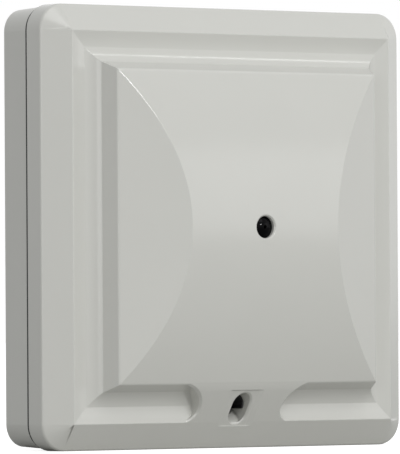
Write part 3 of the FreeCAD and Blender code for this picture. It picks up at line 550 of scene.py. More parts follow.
@dataclass(frozen=True)
class Felt:
    """Pressed felt: dark matted fibres with a dusty sheen."""

    name: str
    colour: str
    fibre: str
    fibre_mm: float
    tangle: float = 1.5
    height_mm: float = 0.08
    roughness: float = 0.95
    sheen: float = 0.3

    def build(self) -> bpy.types.Material:
        """Builds the material."""
        material, tree, shader, place = start_material(self.name)
        # Matted fibres, seen as a tangled light and dark mottle with some height
        fibres = add_node(tree, "ShaderNodeTexNoise",
                          inputs={"Vector": place, "Scale": 1 / (self.fibre_mm * MM), "Detail": 8.0,
                                  "Roughness": 0.7, "Distortion": self.tangle})
        tone = add_node(tree, "ShaderNodeMix", {"data_type": "RGBA"},
                        {0: fibres.outputs["Fac"], 6: linear(self.colour), 7: linear(self.fibre)})
        tree.links.new(tone.outputs[2], shader.inputs["Base Color"])
        bump = add_node(tree, "ShaderNodeBump",
                        inputs={"Strength": 1.0, "Distance": self.height_mm * MM,
                                "Height": fibres.outputs["Fac"]})
        tree.links.new(bump.outputs["Normal"], shader.inputs["Normal"])
        shader.inputs["Roughness"].default_value = self.roughness
        shader.inputs["Sheen Weight"].default_value = self.sheen
        return material


@dataclass(frozen=True)
class BoardLaminate:
    """Glass laminate under green solder mask: raised copper tracks, copper areas and tinned holes."""

    name: str
    bare: str
    over_copper: str
    tin: str
    cell_mm: float
    track_mm: float
    via_mm: float
    track_edge: float = 0.7
    pour_cells: float = 4.0
    pour_from: float = 0.55
    pour_edge: float = 0.01
    via_cells: float = 1.7
    copper_mm: float = 0.035
    roughness: float = 0.32

    def build(self) -> bpy.types.Material:
        """Builds the material."""
        material, tree, shader, place = start_material(self.name)
        # The borders between square cells run straight and at 45 degrees, as tracks do
        cells = {"Vector": place, "Scale": 1 / (self.cell_mm * MM)}
        near, second = [add_node(tree, "ShaderNodeTexVoronoi",
                                 {"distance": "CHEBYCHEV", "feature": feature}, cells).outputs["Distance"]
                        for feature in ("F1", "F2")]
        border = add_node(tree, "ShaderNodeMath", {"operation": "SUBTRACT"}, {0: second, 1: near})
        width = self.track_mm / self.cell_mm
        track = add_node(tree, "ShaderNodeMapRange",
                         inputs={"Value": border.outputs["Value"], "From Min": width,
                                 "From Max": width * self.track_edge})
        # Copper areas fill some of the board
        pour = add_node(tree, "ShaderNodeTexNoise",
                        inputs={"Vector": place, "Scale": 1 / (self.cell_mm * self.pour_cells * MM),
                                "Detail": 0.0})
        area = add_node(tree, "ShaderNodeMapRange",
                        inputs={"Value": pour.outputs["Fac"], "From Min": self.pour_from,
                                "From Max": self.pour_from + self.pour_edge})
        copper = add_node(tree, "ShaderNodeMath", {"operation": "MAXIMUM"},
                          {0: track.outputs["Result"], 1: area.outputs["Result"]})
        mask = add_node(tree, "ShaderNodeMix", {"data_type": "RGBA"},
                        {0: copper.outputs["Value"], 6: linear(self.bare), 7: linear(self.over_copper)})
        # Plated holes show as small tinned dots
        spacing = self.cell_mm * self.via_cells
        holes = add_node(tree, "ShaderNodeTexVoronoi", {"feature": "F1"},
                         {"Vector": place, "Scale": 1 / (spacing * MM)})
        via = add_node(tree, "ShaderNodeMath", {"operation": "LESS_THAN"},
                       {0: holes.outputs["Distance"], 1: self.via_mm / spacing})
        tone = add_node(tree, "ShaderNodeMix", {"data_type": "RGBA"},
                        {0: via.outputs["Value"], 6: mask.outputs[2], 7: linear(self.tin)})
        tree.links.new(tone.outputs[2], shader.inputs["Base Color"])
        tree.links.new(via.outputs["Value"], shader.inputs["Metallic"])
        bump = add_node(tree, "ShaderNodeBump",
                        inputs={"Strength": 1.0, "Distance": self.copper_mm * MM,
                                "Height": copper.outputs["Value"]})
        tree.links.new(bump.outputs["Normal"], shader.inputs["Normal"])
        shader.inputs["Roughness"].default_value = self.roughness
        return material


class Finishes(Enum):
    """Every finish on the sensor."""

    # Off-white ABS with a fine texture: a soft sheen and thin lights along the edges
    COVER_ABS = MouldedPlastic("abs_off_white", "#CCCCC6", "#C9C9C3", 0.17, 0.3, 0.001, 0.25)
    BASE_ABS = MouldedPlastic("abs_off_white_base", "#CBCBC5", "#C8C8C2", 0.3, 0.3, 0.002, 0.2)
    # Zinc-plated steel: bright and slightly blue, with a fine mottle
    SCREW_ZINC = Metal("zinc_plated_steel", "#B9BCBF", "#A3A6AA", 0.28, 0.4)
    # Tin plate of the leads, tabs and caps, and of the solder pads: soft bright grey
    TIN = Metal("tin_plate", "#C6C7C6", "#ABADAC", 0.3, 0.25, edge_mm=0.03)
    # Drawn aluminium of the cans: silvery, with faint lines along the can
    CAN_ALUMINIUM = Metal("drawn_aluminium", "#C4C6C9", "#AEB1B5", 0.24, 0.3, stretch=(1.0, 0.12, 1.0))
    # Nickel-plated steel of the crystal's can: a little warmer and glossier
    CAN_STEEL = Metal("nickel_plated_steel", "#BDBBB5", "#A9A7A1", 0.18, 0.5)
    # Plated brass of the clamps: pale yellow metal
    CLAMP_BRASS = Metal("plated_brass", "#BFAE7C", "#A6976A", 0.3, 0.3)
    # Black moulded rubber of the microphone's boot, also used for the black strip of painted shade in the
    # parting gap: nearly no gloss, lightly dusty
    BOOT_RUBBER = MouldedPlastic("black_rubber", "#141414", "#1B1B1A", 0.62, 0.2, 0.006, 0.1, 3.0)
    # Polished black rubber of the sleeve in the sound hole: deep black with small sharp lights
    SLEEVE_RUBBER = MouldedPlastic("black_polished_rubber", "#020203", "#040405", 0.08, 0.2, 0.0003, 0.05,
                                   2.0, 0.02, 1.17)
    # Black felt over the microphone: loose fibres that catch a little light
    MIC_FELT = Felt("black_felt", "#0D0D0E", "#232325", 0.09)
    # Green polyamide of the terminal block: satin, with flow clouds
    TERMINAL_GREEN = MouldedPlastic("green_polyamide", "#1F6B3D", "#1A6036", 0.38, 0.3, 0.004, 0.12, 5.0)
    # Green solder mask over tracks: glossy, darker where the laminate has no copper
    BOARD_GREEN = BoardLaminate("green_solder_mask", "#0F3D22", "#1C5A34", "#BDBEBA", 2.1, 0.2, 0.32)
    # Blue body and white sliders of the option switch: satin thermoplastic
    SWITCH_BLUE = MouldedPlastic("blue_thermoplastic", "#23407F", "#1F3A76", 0.33, 0.25, 0.003, 0.1, 4.0)
    SLIDER_WHITE = MouldedPlastic("white_thermoplastic", "#EBEBE6", "#E2E2DC", 0.35, 0.2, 0.002, 0.08, 2.0)
    # Black thermoplastic of the tamper switch and the capacitors' feet, also used for the black lining of
    # painted shade in the cover screw's tunnel: satin
    DARK_PLASTIC = MouldedPlastic("black_thermoplastic", "#1A1A1B", "#202021", 0.4, 0.25, 0.004, 0.1, 4.0)
    # Natural acetal of the plunger: milky and waxy
    PLUNGER_ACETAL = MouldedPlastic("natural_acetal", "#DED9C8", "#D5D0BE", 0.3, 0.3, 0.001, 0.12, 3.0)
    # Sealed case of the relay: light grey with a satin face
    RELAY_GREY = MouldedPlastic("light_grey_case", "#D9D9D4", "#D1D1CB", 0.3, 0.3, 0.003, 0.15, 6.0)
    # Moulding resin of the chips: charcoal, finely pitted
    CHIP_RESIN = MouldedPlastic("charcoal_resin", "#1D1D1E", "#252526", 0.5, 0.12, 0.006, 0.04, 2.5)
    # Print on the capacitors and diodes: thin flat ink
    BLACK_INK = MouldedPlastic("black_ink", "#121213", "#18181A", 0.45, 0.15, 0.002, 0.02, 2.0)
    GREY_INK = MouldedPlastic("pale_grey_ink", "#B5B6B3", "#A9AAA7", 0.5, 0.15, 0.002, 0.02, 2.0)
    # White alumina of the resistors under its black glaze, and the tan body of the chip capacitors
    ALUMINA = MouldedPlastic("white_alumina", "#DDDCD6", "#D2D1CA", 0.45, 0.1, 0.002, 0.03, 1.5)
    GLAZE = MouldedPlastic("black_glaze", "#131314", "#19191A", 0.22, 0.1, 0.001, 0.03, 1.5)
    TAN_CERAMIC = MouldedPlastic("tan_ceramic", "#A07B55", "#94704C", 0.36, 0.12, 0.002, 0.04, 1.2)

    def made(self) -> bpy.types.Material:
        """Gives the finish's material, built on first use."""
        return bpy.data.materials.get(self.value.name) or self.value.build()


def dress(finish: Finishes, *nodes: str) -> None:
    """Gives CAD nodes a finish in all their slots.

    Args:
        finish: the finish.
        nodes: names of the nodes.
    """
    for name in nodes:
        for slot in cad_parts[name].material_slots:
            slot.material = finish.made()
        LOG.info("%s: dressed in %s", name, finish.value.name)


# Sub-assemblies

@dataclass
class Housing:
    """Cover and base, whose CAD forms are kept, a black strip of painted shade in the gap between them, and
    the sleeve in the sound hole.
    """

    hole: float = 2.15 * MM
    bore: float = 0.3 * MM
    lip: float = 0.1 * MM
    dome_rise: float = 0.62 * MM
    flange_step: float = 1.95 * MM
    clear: float = 0.01 * MM
    dome_steps: int = 10
    corner_steps: int = 10
    sides: int = 64
    # Size and place of the black strip of painted shade in the parting gap
    gap_shade_inset: float = 0.3 * MM
    gap_shade_low: float = 7.45 * MM
    gap_shade_high: float = 7.97 * MM
    gap_shade_low_width: float = 0.1 * MM
    gap_shade_high_width: float = 0.45 * MM
    corner: float = 5.1 * MM

    def build(self) -> None:
        """Dresses both mouldings and makes the painted shade in the parting gap and the sleeve."""
        dress(Finishes.COVER_ABS, "cover")
        dress(Finishes.BASE_ABS, "base")
        self.painted_gap_shade()
        self.sleeve()

    def painted_gap_shade(self) -> None:
        """Makes a thin black strip in the parting gap, painted shade that darkens the parting line."""
        low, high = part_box("cover")
        inset = Vector((self.gap_shade_inset, 0, self.gap_shade_inset))
        ring = start_block("parting_gap_painted_shade", Vector((low.x, -self.gap_shade_high, low.z)) + inset,
                           Vector((high.x, -self.gap_shade_low, high.z)) - inset)
        round_edges(ring, self.corner - self.gap_shade_inset, self.corner_steps, is_upright)
        ends = ((self.gap_shade_high, self.gap_shade_high_width), (self.gap_shade_low, self.gap_shade_low_width))
        least = (high.x - low.x) ** 2 / 2
        with editing(ring):
            for reach, width in ends:
                pick_faces(ring, lambda face: abs(face.calc_center_median().y + reach) < TOUCH)
                bpy.ops.mesh.inset(thickness=width)
            pick_faces(ring, lambda face: abs(face.normal.y) > SQUARE and face.calc_area() > least)
            bpy.ops.mesh.bridge_edge_loops()
            bpy.ops.mesh.select_all(action="SELECT")
            bpy.ops.mesh.normals_make_consistent(inside=False)
        paint(ring, Finishes.BOOT_RUBBER.made())
        smooth(ring)
        seat(ring, "housing", "boot_rubber")

    def sleeve(self) -> None:
        """Turns the sleeve with its domed front and small sound bore."""
        low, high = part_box("sound_grommet")
        flange, hole = high.x - self.clear, self.hole - self.clear
        back, front = -high.y, -low.y
        step = front - self.flange_step
        radius = (hole ** 2 + self.dome_rise ** 2) / (2 * self.dome_rise)
        outer, inner = math.asin(hole / radius), math.asin((self.bore + self.lip) / radius)
        turn = (inner - outer) / self.dome_steps
        angles = [outer + turn * index for index in range(self.dome_steps + 1)]
        dome = [(radius * math.sin(angle), front - radius * (1 - math.cos(angle))) for angle in angles]
        profile = [(self.bore, back), (flange, back), (flange, step), (hole, step)] + dome
        profile.append((self.bore, dome[-1][1] - self.lip))
        piece = turned("sound_sleeve", profile, Vector((0, 0, 0)), self.sides, ring=True)
        paint(piece, Finishes.SLEEVE_RUBBER.made())
        smooth(piece)
        seat(piece, "cover", "boot_rubber", "sound_grommet")


@dataclass
class Screws:
    """Cover screw with a black lining of painted shade in its tunnel, board screws and terminal screws."""

    thread_pitch: float = 0.8 * MM
    thread_depth: float = 0.12 * MM
    slot_width: float = 0.6 * MM
    slot_depth: float = 0.65 * MM
    slot_edge: float = 0.62 * MM
    slot_corner: float = 0.075 * MM
    crown_flat: float = 0.55
    crown_bend: float = 0.85
    crown_drop: float = 0.18
    head_side: float = 0.5
    cover_shank: float = 1.25 * MM
    cover_head: float = 1.4 * MM
    board_shank: float = 1.1 * MM
    board_head: float = 1.5 * MM
    terminal_edge: float = 0.2 * MM
    tunnel: float = 2.04 * MM
    # Size and place of the black lining of painted shade in the screw's tunnel
    tunnel_shade_wall: float = 0.34 * MM
    tunnel_shade_front: float = 16.0 * MM
    tunnel_shade_over_head: float = 0.3 * MM
    tunnel_shade_break: float = 0.1 * MM
    tunnel_shade_mouth: float = 0.9 * MM
    sides: int = 40

    def build(self) -> None:
        """Makes every screw."""
        cover_screw = self.pan_screw("cover_screw_crossed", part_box("cover_screw"), self.cover_shank,
                                     self.cover_head)
        seat(cover_screw, "cover", "screw_steel", "cover_screw")
        self.painted_tunnel_shade()
        boxes = solids_of("board_screws")
        first = self.pan_screw("board_screw_1", boxes[0], self.board_shank, self.board_head)
        for number, box in enumerate(boxes[1:], 2):
            other = copied(first, f"board_screw_{number}", middle(box) - middle(boxes[0]))
            seat(other, "housing", "screw_steel", "board_screws")
        seat(first, "housing", "screw_steel", "board_screws")
        self.terminal_screws()

    def pan_screw(self, name: str, box: Box, shank: float, head: float) -> bpy.types.Object:
        """Turns a pan-head screw with its thread and cuts its crossed recess.

        Args:
            name: name of the piece.
            box: box of the screw's solid.
            shank: radius of the shank over its thread.
            head: height of the head.

        Returns:
            The finished screw.
        """
        low, high = box
        radius, top, tip = (high.x - low.x) / 2, -low.y, -high.y
        under = top - head
        profile = [(0, top), (radius * self.crown_flat, top),
                   (radius * self.crown_bend, top - head * self.crown_drop),
                   (radius, top - head * self.head_side), (radius, under), (shank, under)]
        for index in range(int((under - tip) / self.thread_pitch) - 1):
            crest = under - (index + 0.5) * self.thread_pitch
            profile += [(shank - self.thread_depth, crest + self.thread_pitch / 3), (shank, crest)]
        profile += [(shank - self.thread_depth, tip + self.thread_pitch / 2), (shank / 2, tip), (0, tip)]
        place = axis_of(box)
        piece = turned(name, profile, place, self.sides)
        reach, half = radius - self.slot_edge, self.slot_width / 2
        self.cut_slot(piece, place, reach, half, top)
        self.cut_slot(piece, place, half, reach, top)
        paint(piece, Finishes.SCREW_ZINC.made())
        smooth(piece)
        return piece

    def painted_tunnel_shade(self) -> None:
        """Turns a black lining in the cover screw's tunnel, painted shade where the tunnel is deep, and opens
        its lower side.
        """
        low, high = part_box("cover_screw")
        place, back, edge = axis_of((low, high)), self.tunnel_shade_over_head - low.y, self.tunnel_shade_break
        inner = self.tunnel - self.tunnel_shade_wall
        profile = [(inner, back), (self.tunnel, back), (self.tunnel, self.tunnel_shade_front - edge),
                   (self.tunnel - edge, self.tunnel_shade_front), (inner + edge, self.tunnel_shade_front),
                   (inner, self.tunnel_shade_front - edge)]
        tunnel_shade = turned("screw_tunnel_painted_shade", profile, place, self.sides, ring=True)
        with editing(tunnel_shade):
            bpy.ops.mesh.select_all(action="SELECT")
            bpy.ops.mesh.bisect(plane_co=place - Vector((0, 0, self.tunnel_shade_mouth)), plane_no=(0, 0, 1),
                                use_fill=True, clear_inner=True)
            bpy.ops.mesh.select_all(action="SELECT")
            bpy.ops.mesh.normals_make_consistent(inside=False)
        paint(tunnel_shade, Finishes.DARK_PLASTIC.made())
        smooth(tunnel_shade)
        seat(tunnel_shade, "cover", "dark_plastic")

    def cut_slot(self, piece: bpy.types.Object, place: Vector, half_x: float, half_z: float,
                 top: float) -> None:
        """Cuts one driver slot into a screw's head.

        Args:
            piece: the screw.
            place: point on the screw's axis.
            half_x: half of the slot's width.
            half_z: half of its height.
            top: reach of the head's top out of the wall.
        """
        low = Vector((place.x - half_x, -top - self.slot_depth, place.z - half_z))
        high = Vector((place.x + half_x, -top + self.slot_depth, place.z + half_z))
        cutter = start_block("slot_cutter", low, high)
        round_edges(cutter, self.slot_corner, 2, is_upright)
        carve(piece, cutter)

    def terminal_screws(self) -> None:
        """Turns one slotted terminal screw and copies it along the block."""
        boxes = solids_of("terminal_screws")
        low, high = boxes[0]
        radius, top, foot = (high.x - low.x) / 2, -low.y, -high.y
        edge, place = self.terminal_edge, axis_of(boxes[0])
        profile = [(0, top), (radius - edge, top), (radius, top - edge), (radius, foot), (0, foot)]
        screw = turned("terminal_screw", profile, place, self.sides)
        self.cut_slot(screw, place, radius + edge, self.slot_width / 2, top)
        paint(screw, Finishes.SCREW_ZINC.made())
        shifts = [middle(box) - middle(boxes[0]) for box in boxes[1:]]
        screws = [screw] + [copied(screw, "terminal_screw", shift) for shift in shifts]
        row = joined("terminal_screws_slotted", screws)
        smooth(row)
        seat(row, "housing", "screw_steel", "terminal_screws")


@dataclass
class Listening:
    """Microphone with its boot and felt, whose CAD forms are kept."""

    def build(self) -> None:
        """Dresses the three nodes."""
        dress(Finishes.CAN_ALUMINIUM, "microphone")
        dress(Finishes.BOOT_RUBBER, "microphone_boot")
        dress(Finishes.MIC_FELT, "microphone_felt")


@dataclass
class Switches:
    """Terminal block, option switch and tamper switch, whose CAD forms are kept."""

    sliders: int = 4

    def build(self) -> None:
        """Dresses the nodes."""
        dress(Finishes.TERMINAL_GREEN, "terminal_block")
        dress(Finishes.CLAMP_BRASS, "terminal_clamps")
        dress(Finishes.SWITCH_BLUE, "option_switch")
        sliders = [f"option_slider_{number}" for number in range(1, self.sliders + 1)]
        dress(Finishes.SLIDER_WHITE, *sliders)
        dress(Finishes.DARK_PLASTIC, "tamper_switch")
        dress(Finishes.PLUNGER_ACETAL, "tamper_plunger")


@dataclass
class Relay:
    """Sealed relay: a tray with feet, a case that is a little narrower, and its vent nub."""

    tray: float = 1.3 * MM
    foot: float = 0.4 * MM
    foot_root: float = 0.2 * MM
    foot_width: float = 1.2 * MM
    step: float = 0.12 * MM
    corner: float = 0.6 * MM
    nub: float = 0.9 * MM
    nub_crown: float = 0.54 * MM
    nub_rise: float = 0.2 * MM
    nub_root: float = 0.4 * MM
    nub_inset: float = 2.7 * MM
    nub_sides: int = 24

    def build(self) -> None:
        """Makes the relay."""
        low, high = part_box("relay")
        seam = high.y - self.foot - self.tray
        tray = start_block("relay_tray", Vector((low.x, seam, low.z)),
                           Vector((high.x, high.y - self.foot, high.z)))
        round_edges(tray, self.corner, 4, is_upright)
        inset = Vector((self.step, 0, self.step))
        case = start_block("relay_case", Vector((low.x, low.y + self.nub_rise, low.z)) + inset,
                           Vector((high.x, seam + self.step, high.z)) - inset)
        round_edges(case, self.corner, 4, is_upright)
        round_edges(case, self.corner / 2, 3, is_front(case))
        pieces = [tray, case, self.vent_nub(low, high)] + self.feet(low + inset, high - inset)
        whole = joined("relay_sealed", pieces)
        paint(whole, Finishes.RELAY_GREY.made())
        smooth(whole)
        seat(whole, "housing", "relay_plastic", "relay")

    def vent_nub(self, low: Vector, high: Vector) -> bpy.types.Object:
        """Turns the nub that closes the vent.

        Args:
            low: lowest corner of the relay.
            high: highest corner.

        Returns:
            The nub.
        """
        top = -low.y
        side = top - self.nub_rise
        root = side - self.nub_root
        profile = [(0, top), (self.nub_crown, top), (self.nub, side), (self.nub, root), (0, root)]
        place = Vector((low.x + self.nub_inset, 0, high.z - self.nub_inset))
        return turned("relay_nub", profile, place, self.nub_sides)

    def feet(self, low: Vector, high: Vector) -> list[bpy.types.Object]:
        """Makes one foot and copies it to the other corners.

        Args:
            low: lowest corner of the case.
            high: highest corner, on the board.

        Returns:
            The four feet.
        """
        depth, width = self.foot + self.foot_root, self.foot_width
        corner = Vector((low.x, high.y - depth, low.z))
        foot = start_block("relay_foot", corner, corner + Vector((width, depth, width)))
        round_edges(foot, self.step, 2, is_upright)
        across, up = high.x - low.x - width, high.z - low.z - width
        shifts = [Vector((x, 0, z)) for x, z in ((across, 0), (0, up), (across, up))]
        return [foot] + [copied(foot, "relay_foot", shift) for shift in shifts]


def moulded_body(name: str, low: Vector, high: Vector, draft: float, edge: float) -> bpy.types.Object:
    """Makes a moulded chip body, widest at its middle.

    Args:
        name: name of the piece.
        low: lowest corner.
        high: highest corner.
        draft: how far the sides lean in towards the front and the board.
        edge: reach of the softened edges.

    Returns:
        The body.
    """
    body = start_block(name, low, high)
    centre = (low + high) / 2
    shrink = Vector((1 - 2 * draft / (high.x - low.x), 1, 1 - 2 * draft / (high.z - low.z)))
    with editing(body):
        bpy.ops.mesh.select_all(action="SELECT")
        bpy.ops.mesh.bisect(plane_co=centre, plane_no=(0, 1, 0))
        for end in (low.y, high.y):
            pick_faces(body, lambda face: abs(face.calc_center_median().y - end) < TOUCH)
            bpy.ops.transform.resize(value=shrink, center_override=centre)
    round_edges(body, edge, 2, is_sharp)
    return body


@dataclass
class Chip:
    """Chip with a row of bent leads along its upper and lower sides."""

    node: str
    leads: int
    pitch: float = 1.27 * MM
    reach: float = 1.3 * MM
    lead_width: float = 0.42 * MM
    lead_thickness: float = 0.22 * MM
    lead_root: float = 0.27 * MM
    lead_bend: float = 0.132 * MM
    bend_share: float = 0.45
    rise: float = 0.9 * MM
    draft: float = 0.18 * MM
    standoff: float = 0.12 * MM
    edge: float = 0.05 * MM
    dimple: float = 0.45 * MM
    dimple_floor: float = 0.405 * MM
    dimple_depth: float = 0.08 * MM
    dimple_inset: float = 1.08 * MM
    dimple_sides: int = 24

    def build(self) -> None:
        """Makes the body and its leads."""
        low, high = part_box(self.node)
        inset = Vector((0, 0, self.reach))
        body = moulded_body(self.node + "_body", low + inset, high - inset - Vector((0, self.standoff, 0)),
                            self.draft, self.edge)
        mark = Vector((low.x + self.dimple_inset, 0, low.z + self.reach + self.dimple_inset))
        over, under = self.dimple_depth - low.y, -low.y - self.dimple_depth
        profile = [(0, over), (self.dimple, over), (self.dimple_floor, under), (0, under)]
        carve(body, turned("dimple_cutter", profile, mark, self.dimple_sides))
        paint(body, Finishes.CHIP_RESIN.made())
        smooth(body, MOULDED_DEGREES)
        seat(body, "housing", "chip_resin", self.node)
        self.make_leads(low, high)

    def make_leads(self, low: Vector, high: Vector) -> None:
        """Bends one lead and copies it along both sides.

        Args:
            low: lowest corner of the chip.
            high: highest corner.
        """
        centre, half = (low + high) / 2, self.lead_thickness / 2
        x = centre.x - (self.leads - 1) * self.pitch / 2 - self.lead_width / 2
        side, corner = high.z - self.reach, self.lead_bend
        bend = side + self.reach * self.bend_share
        level, floor = high.y - self.rise, high.y - half
        path = [Vector((x, level, side - self.lead_root)), Vector((x, level, bend - corner)),
                Vector((x, level + corner, bend)), Vector((x, floor - corner, bend + half)),
                Vector((x, floor, bend + half + corner)), Vector((x, floor, high.z))]
        lead = ribbon("lead", path, Vector((self.lead_width, 0, 0)), self.lead_thickness)
        steps = [Vector((index * self.pitch, 0, 0)) for index in range(1, self.leads)]
        made = [lead] + [copied(lead, "lead", step) for step in steps]
        made += [copied(piece, "lead", half_turn=centre) for piece in list(made)]
        leads = joined(self.node + "_leads", made)
        paint(leads, Finishes.TIN.made())
        smooth(leads)
        seat(leads, "housing", "chip_resin", self.node)


@dataclass
class Regulator:
    """Voltage regulator: resin body, wide upper tab and three bent legs."""

    length: float = 6.5 * MM
    width: float = 3.5 * MM
    tab_width: float = 3.0 * MM
    leg_width: float = 0.84 * MM
    pitch: float = 2.3 * MM
    leg_root: float = 0.3 * MM
    leg_bend: float = 0.144 * MM
    bend_share: float = 0.4
    sheet: float = 0.24 * MM
    rise: float = 0.85 * MM
    draft: float = 0.2 * MM
    edge: float = 0.06 * MM
    standoff: float = 0.1 * MM

    def build(self) -> None:
        """Makes the regulator."""
        low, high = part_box("voltage_regulator")
        centre, half_x, half_z = (low + high) / 2, self.length / 2, self.width / 2
        body = moulded_body("regulator_body", Vector((centre.x - half_x, low.y, centre.z - half_z)),
                            Vector((centre.x + half_x, high.y - self.standoff, centre.z + half_z)),
                            self.draft, self.edge)
        paint(body, Finishes.CHIP_RESIN.made())
        smooth(body, MOULDED_DEGREES)
        seat(body, "housing", "chip_resin", "voltage_regulator")
        legs = [self.leg(centre.x, self.tab_width, centre.z + half_z, high)]
        foot = Vector((high.x, high.y, low.z))
        legs += [self.leg(centre.x + index * self.pitch, self.leg_width, centre.z - half_z, foot)
                 for index in (-1, 0, 1)]
        whole = joined("regulator_legs", legs)
        paint(whole, Finishes.TIN.made())
        smooth(whole)
        seat(whole, "housing", "chip_resin", "voltage_regulator")

    def leg(self, x: float, width: float, start: float, end: Vector) -> bpy.types.Object:
        """Bends one leg from the body down to the board.

        Args:
            x: middle of the leg.
            width: its width.
            start: height at which it leaves the body.
            end: corner on the board where it ends.

        Returns:
            The leg.
        """
        away, reach, corner = math.copysign(1, end.z - start), abs(end.z - start), self.leg_bend
        bend, level, floor = reach * self.bend_share, end.y - self.rise, end.y - self.sheet / 2
        runs = [(level, -self.leg_root), (level, bend - corner), (level + corner, bend),
                (floor - corner, bend + corner), (floor, bend + 2 * corner), (floor, reach)]
        path = [Vector((x - width / 2, y, start + away * run)) for y, run in runs]
        return ribbon("leg", path, Vector((width, 0, 0)), self.sheet)


@dataclass
class Crystal:
    """Crystal: a flanged steel can with drawn, rounded edges."""

    flange: float = 0.55 * MM
    inset: float = 0.35 * MM
    edge: float = 0.5 * MM
    roundness: float = 0.96
    end_steps: int = 10

    def build(self) -> None:
        """Makes the crystal."""
        low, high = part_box("crystal")
        half, seam = (high.z - low.z) / 2, high.y - self.flange
        flange = start_block("crystal_flange", Vector((low.x, seam, low.z)), high)
        round_edges(flange, half * self.roundness, self.end_steps, is_upright)
        inset = Vector((self.inset, 0, self.inset))
        can = start_block("crystal_can", low + inset,
                          Vector((high.x, seam + self.flange / 2, high.z)) - inset)
        round_edges(can, (half - self.inset) * self.roundness, self.end_steps, is_upright)
        round_edges(can, self.edge, 4, is_front(can))
        whole = joined("crystal_can", [flange, can])
        paint(whole, Finishes.CAN_STEEL.made())
        smooth(whole)
        seat(whole, "housing", "can_steel", "crystal")


@dataclass
class Capacitors:
    """Electrolytic capacitors: rolled cans with a scored, printed top, on black feet."""

    foot: float = 0.8 * MM
    foot_overlap: float = 0.04 * MM
    groove: float = 0.3 * MM
    neck: float = 0.96 * MM
    shoulder: float = 0.45 * MM
    shoulder_bend: float = 0.135 * MM
    rim: float = 0.63 * MM
    rim_foot: float = 0.72 * MM
    well: float = 0.1 * MM
    score: float = 0.22 * MM
    score_depth: float = 0.08 * MM
    score_share: float = 0.62
    ink_from: float = 1.2 * MM
    tab_width: float = 0.9 * MM
    tab_reach: float = 0.5 * MM
    tab: float = 0.2 * MM
    sides: int = 56

    def build(self) -> None:
        """Makes one capacitor and copies it."""
        boxes = solids_of("capacitors")
        first = joined("capacitor_1", [self.can(boxes[0])] + self.foot_and_tabs(boxes[0]))
        smooth(first)
        for number, box in enumerate(boxes[1:], 2):
            other = copied(first, f"capacitor_{number}", middle(box) - middle(boxes[0]))
            seat(other, "housing", "can_aluminium", "capacitors")
        seat(first, "housing", "can_aluminium", "capacitors")

    def can(self, box: Box) -> bpy.types.Object:
        """Turns the can, scores its top and prints the mark on it.

        Args:
            box: box of the capacitor's solid.

        Returns:
            The can.
        """
        low, high = box
        radius, top, rest = (high.x - low.x) / 2, -low.y, self.foot - high.y
        neck = rest + self.neck
        profile = [(0, rest), (radius - self.groove, rest), (radius, rest + self.groove),
                   (radius, neck - self.groove), (radius - self.groove, neck), (radius, neck + self.groove),
                   (radius, top - self.shoulder), (radius - self.shoulder_bend, top - self.shoulder_bend),
                   (radius - self.shoulder, top), (radius - self.rim, top),
                   (radius - self.rim_foot, top - self.well), (0, top - self.well)]
        place = axis_of(box)
        can = turned("capacitor_can", profile, place, self.sides)
        face, reach, half = self.well - top, radius * self.score_share, self.score / 2
        for half_x, half_z in ((reach, half), (half, reach)):
            start = Vector((place.x - half_x, face - self.well, place.z - half_z))
            end = Vector((place.x + half_x, face + self.score_depth, place.z + half_z))
            carve(can, start_block("score_cutter", start, end))
        border = place.x - self.ink_from
        with editing(can):
            pick_faces(can, lambda part: abs(part.calc_center_median().y - face) < NEAR)
            bpy.ops.mesh.bisect(plane_co=(border, 0, 0), plane_no=(1, 0, 0))
        paint(can, Finishes.CAN_ALUMINIUM.made())
        paint(can, Finishes.BLACK_INK.made(),
              lambda part: abs(part.center.y - face) < NEAR and part.center.x < border)
        return can

    def foot_and_tabs(self, box: Box) -> list[bpy.types.Object]:
        """Makes the foot with its two cut corners, and the tabs at its ends.

        Args:
            box: box of the capacitor's solid.

        Returns:
            The foot and both tabs.
        """
        low, high = box
        place = axis_of(box)
        foot_top = high.y - self.foot - self.foot_overlap
        foot = start_block("capacitor_foot", Vector((low.x, foot_top, low.z)), high)
        round_edges(foot, self.foot, 1, lambda edge: is_upright(edge) and edge.verts[0].co.z > place.z)
        round_edges(foot, self.foot / 6, 2, is_front(foot))
        paint(foot, Finishes.DARK_PLASTIC.made())
        half = self.tab_width / 2
        tab = start_block("capacitor_tab",
                          Vector((place.x - half, high.y - self.tab, low.z - self.tab_reach)),
                          Vector((place.x + half, high.y, low.z + self.foot)))
        round_edges(tab, self.tab / 4, 2, is_front(tab))
        paint(tab, Finishes.TIN.made())
        return [foot, tab, copied(tab, "capacitor_tab", half_turn=middle(box))]


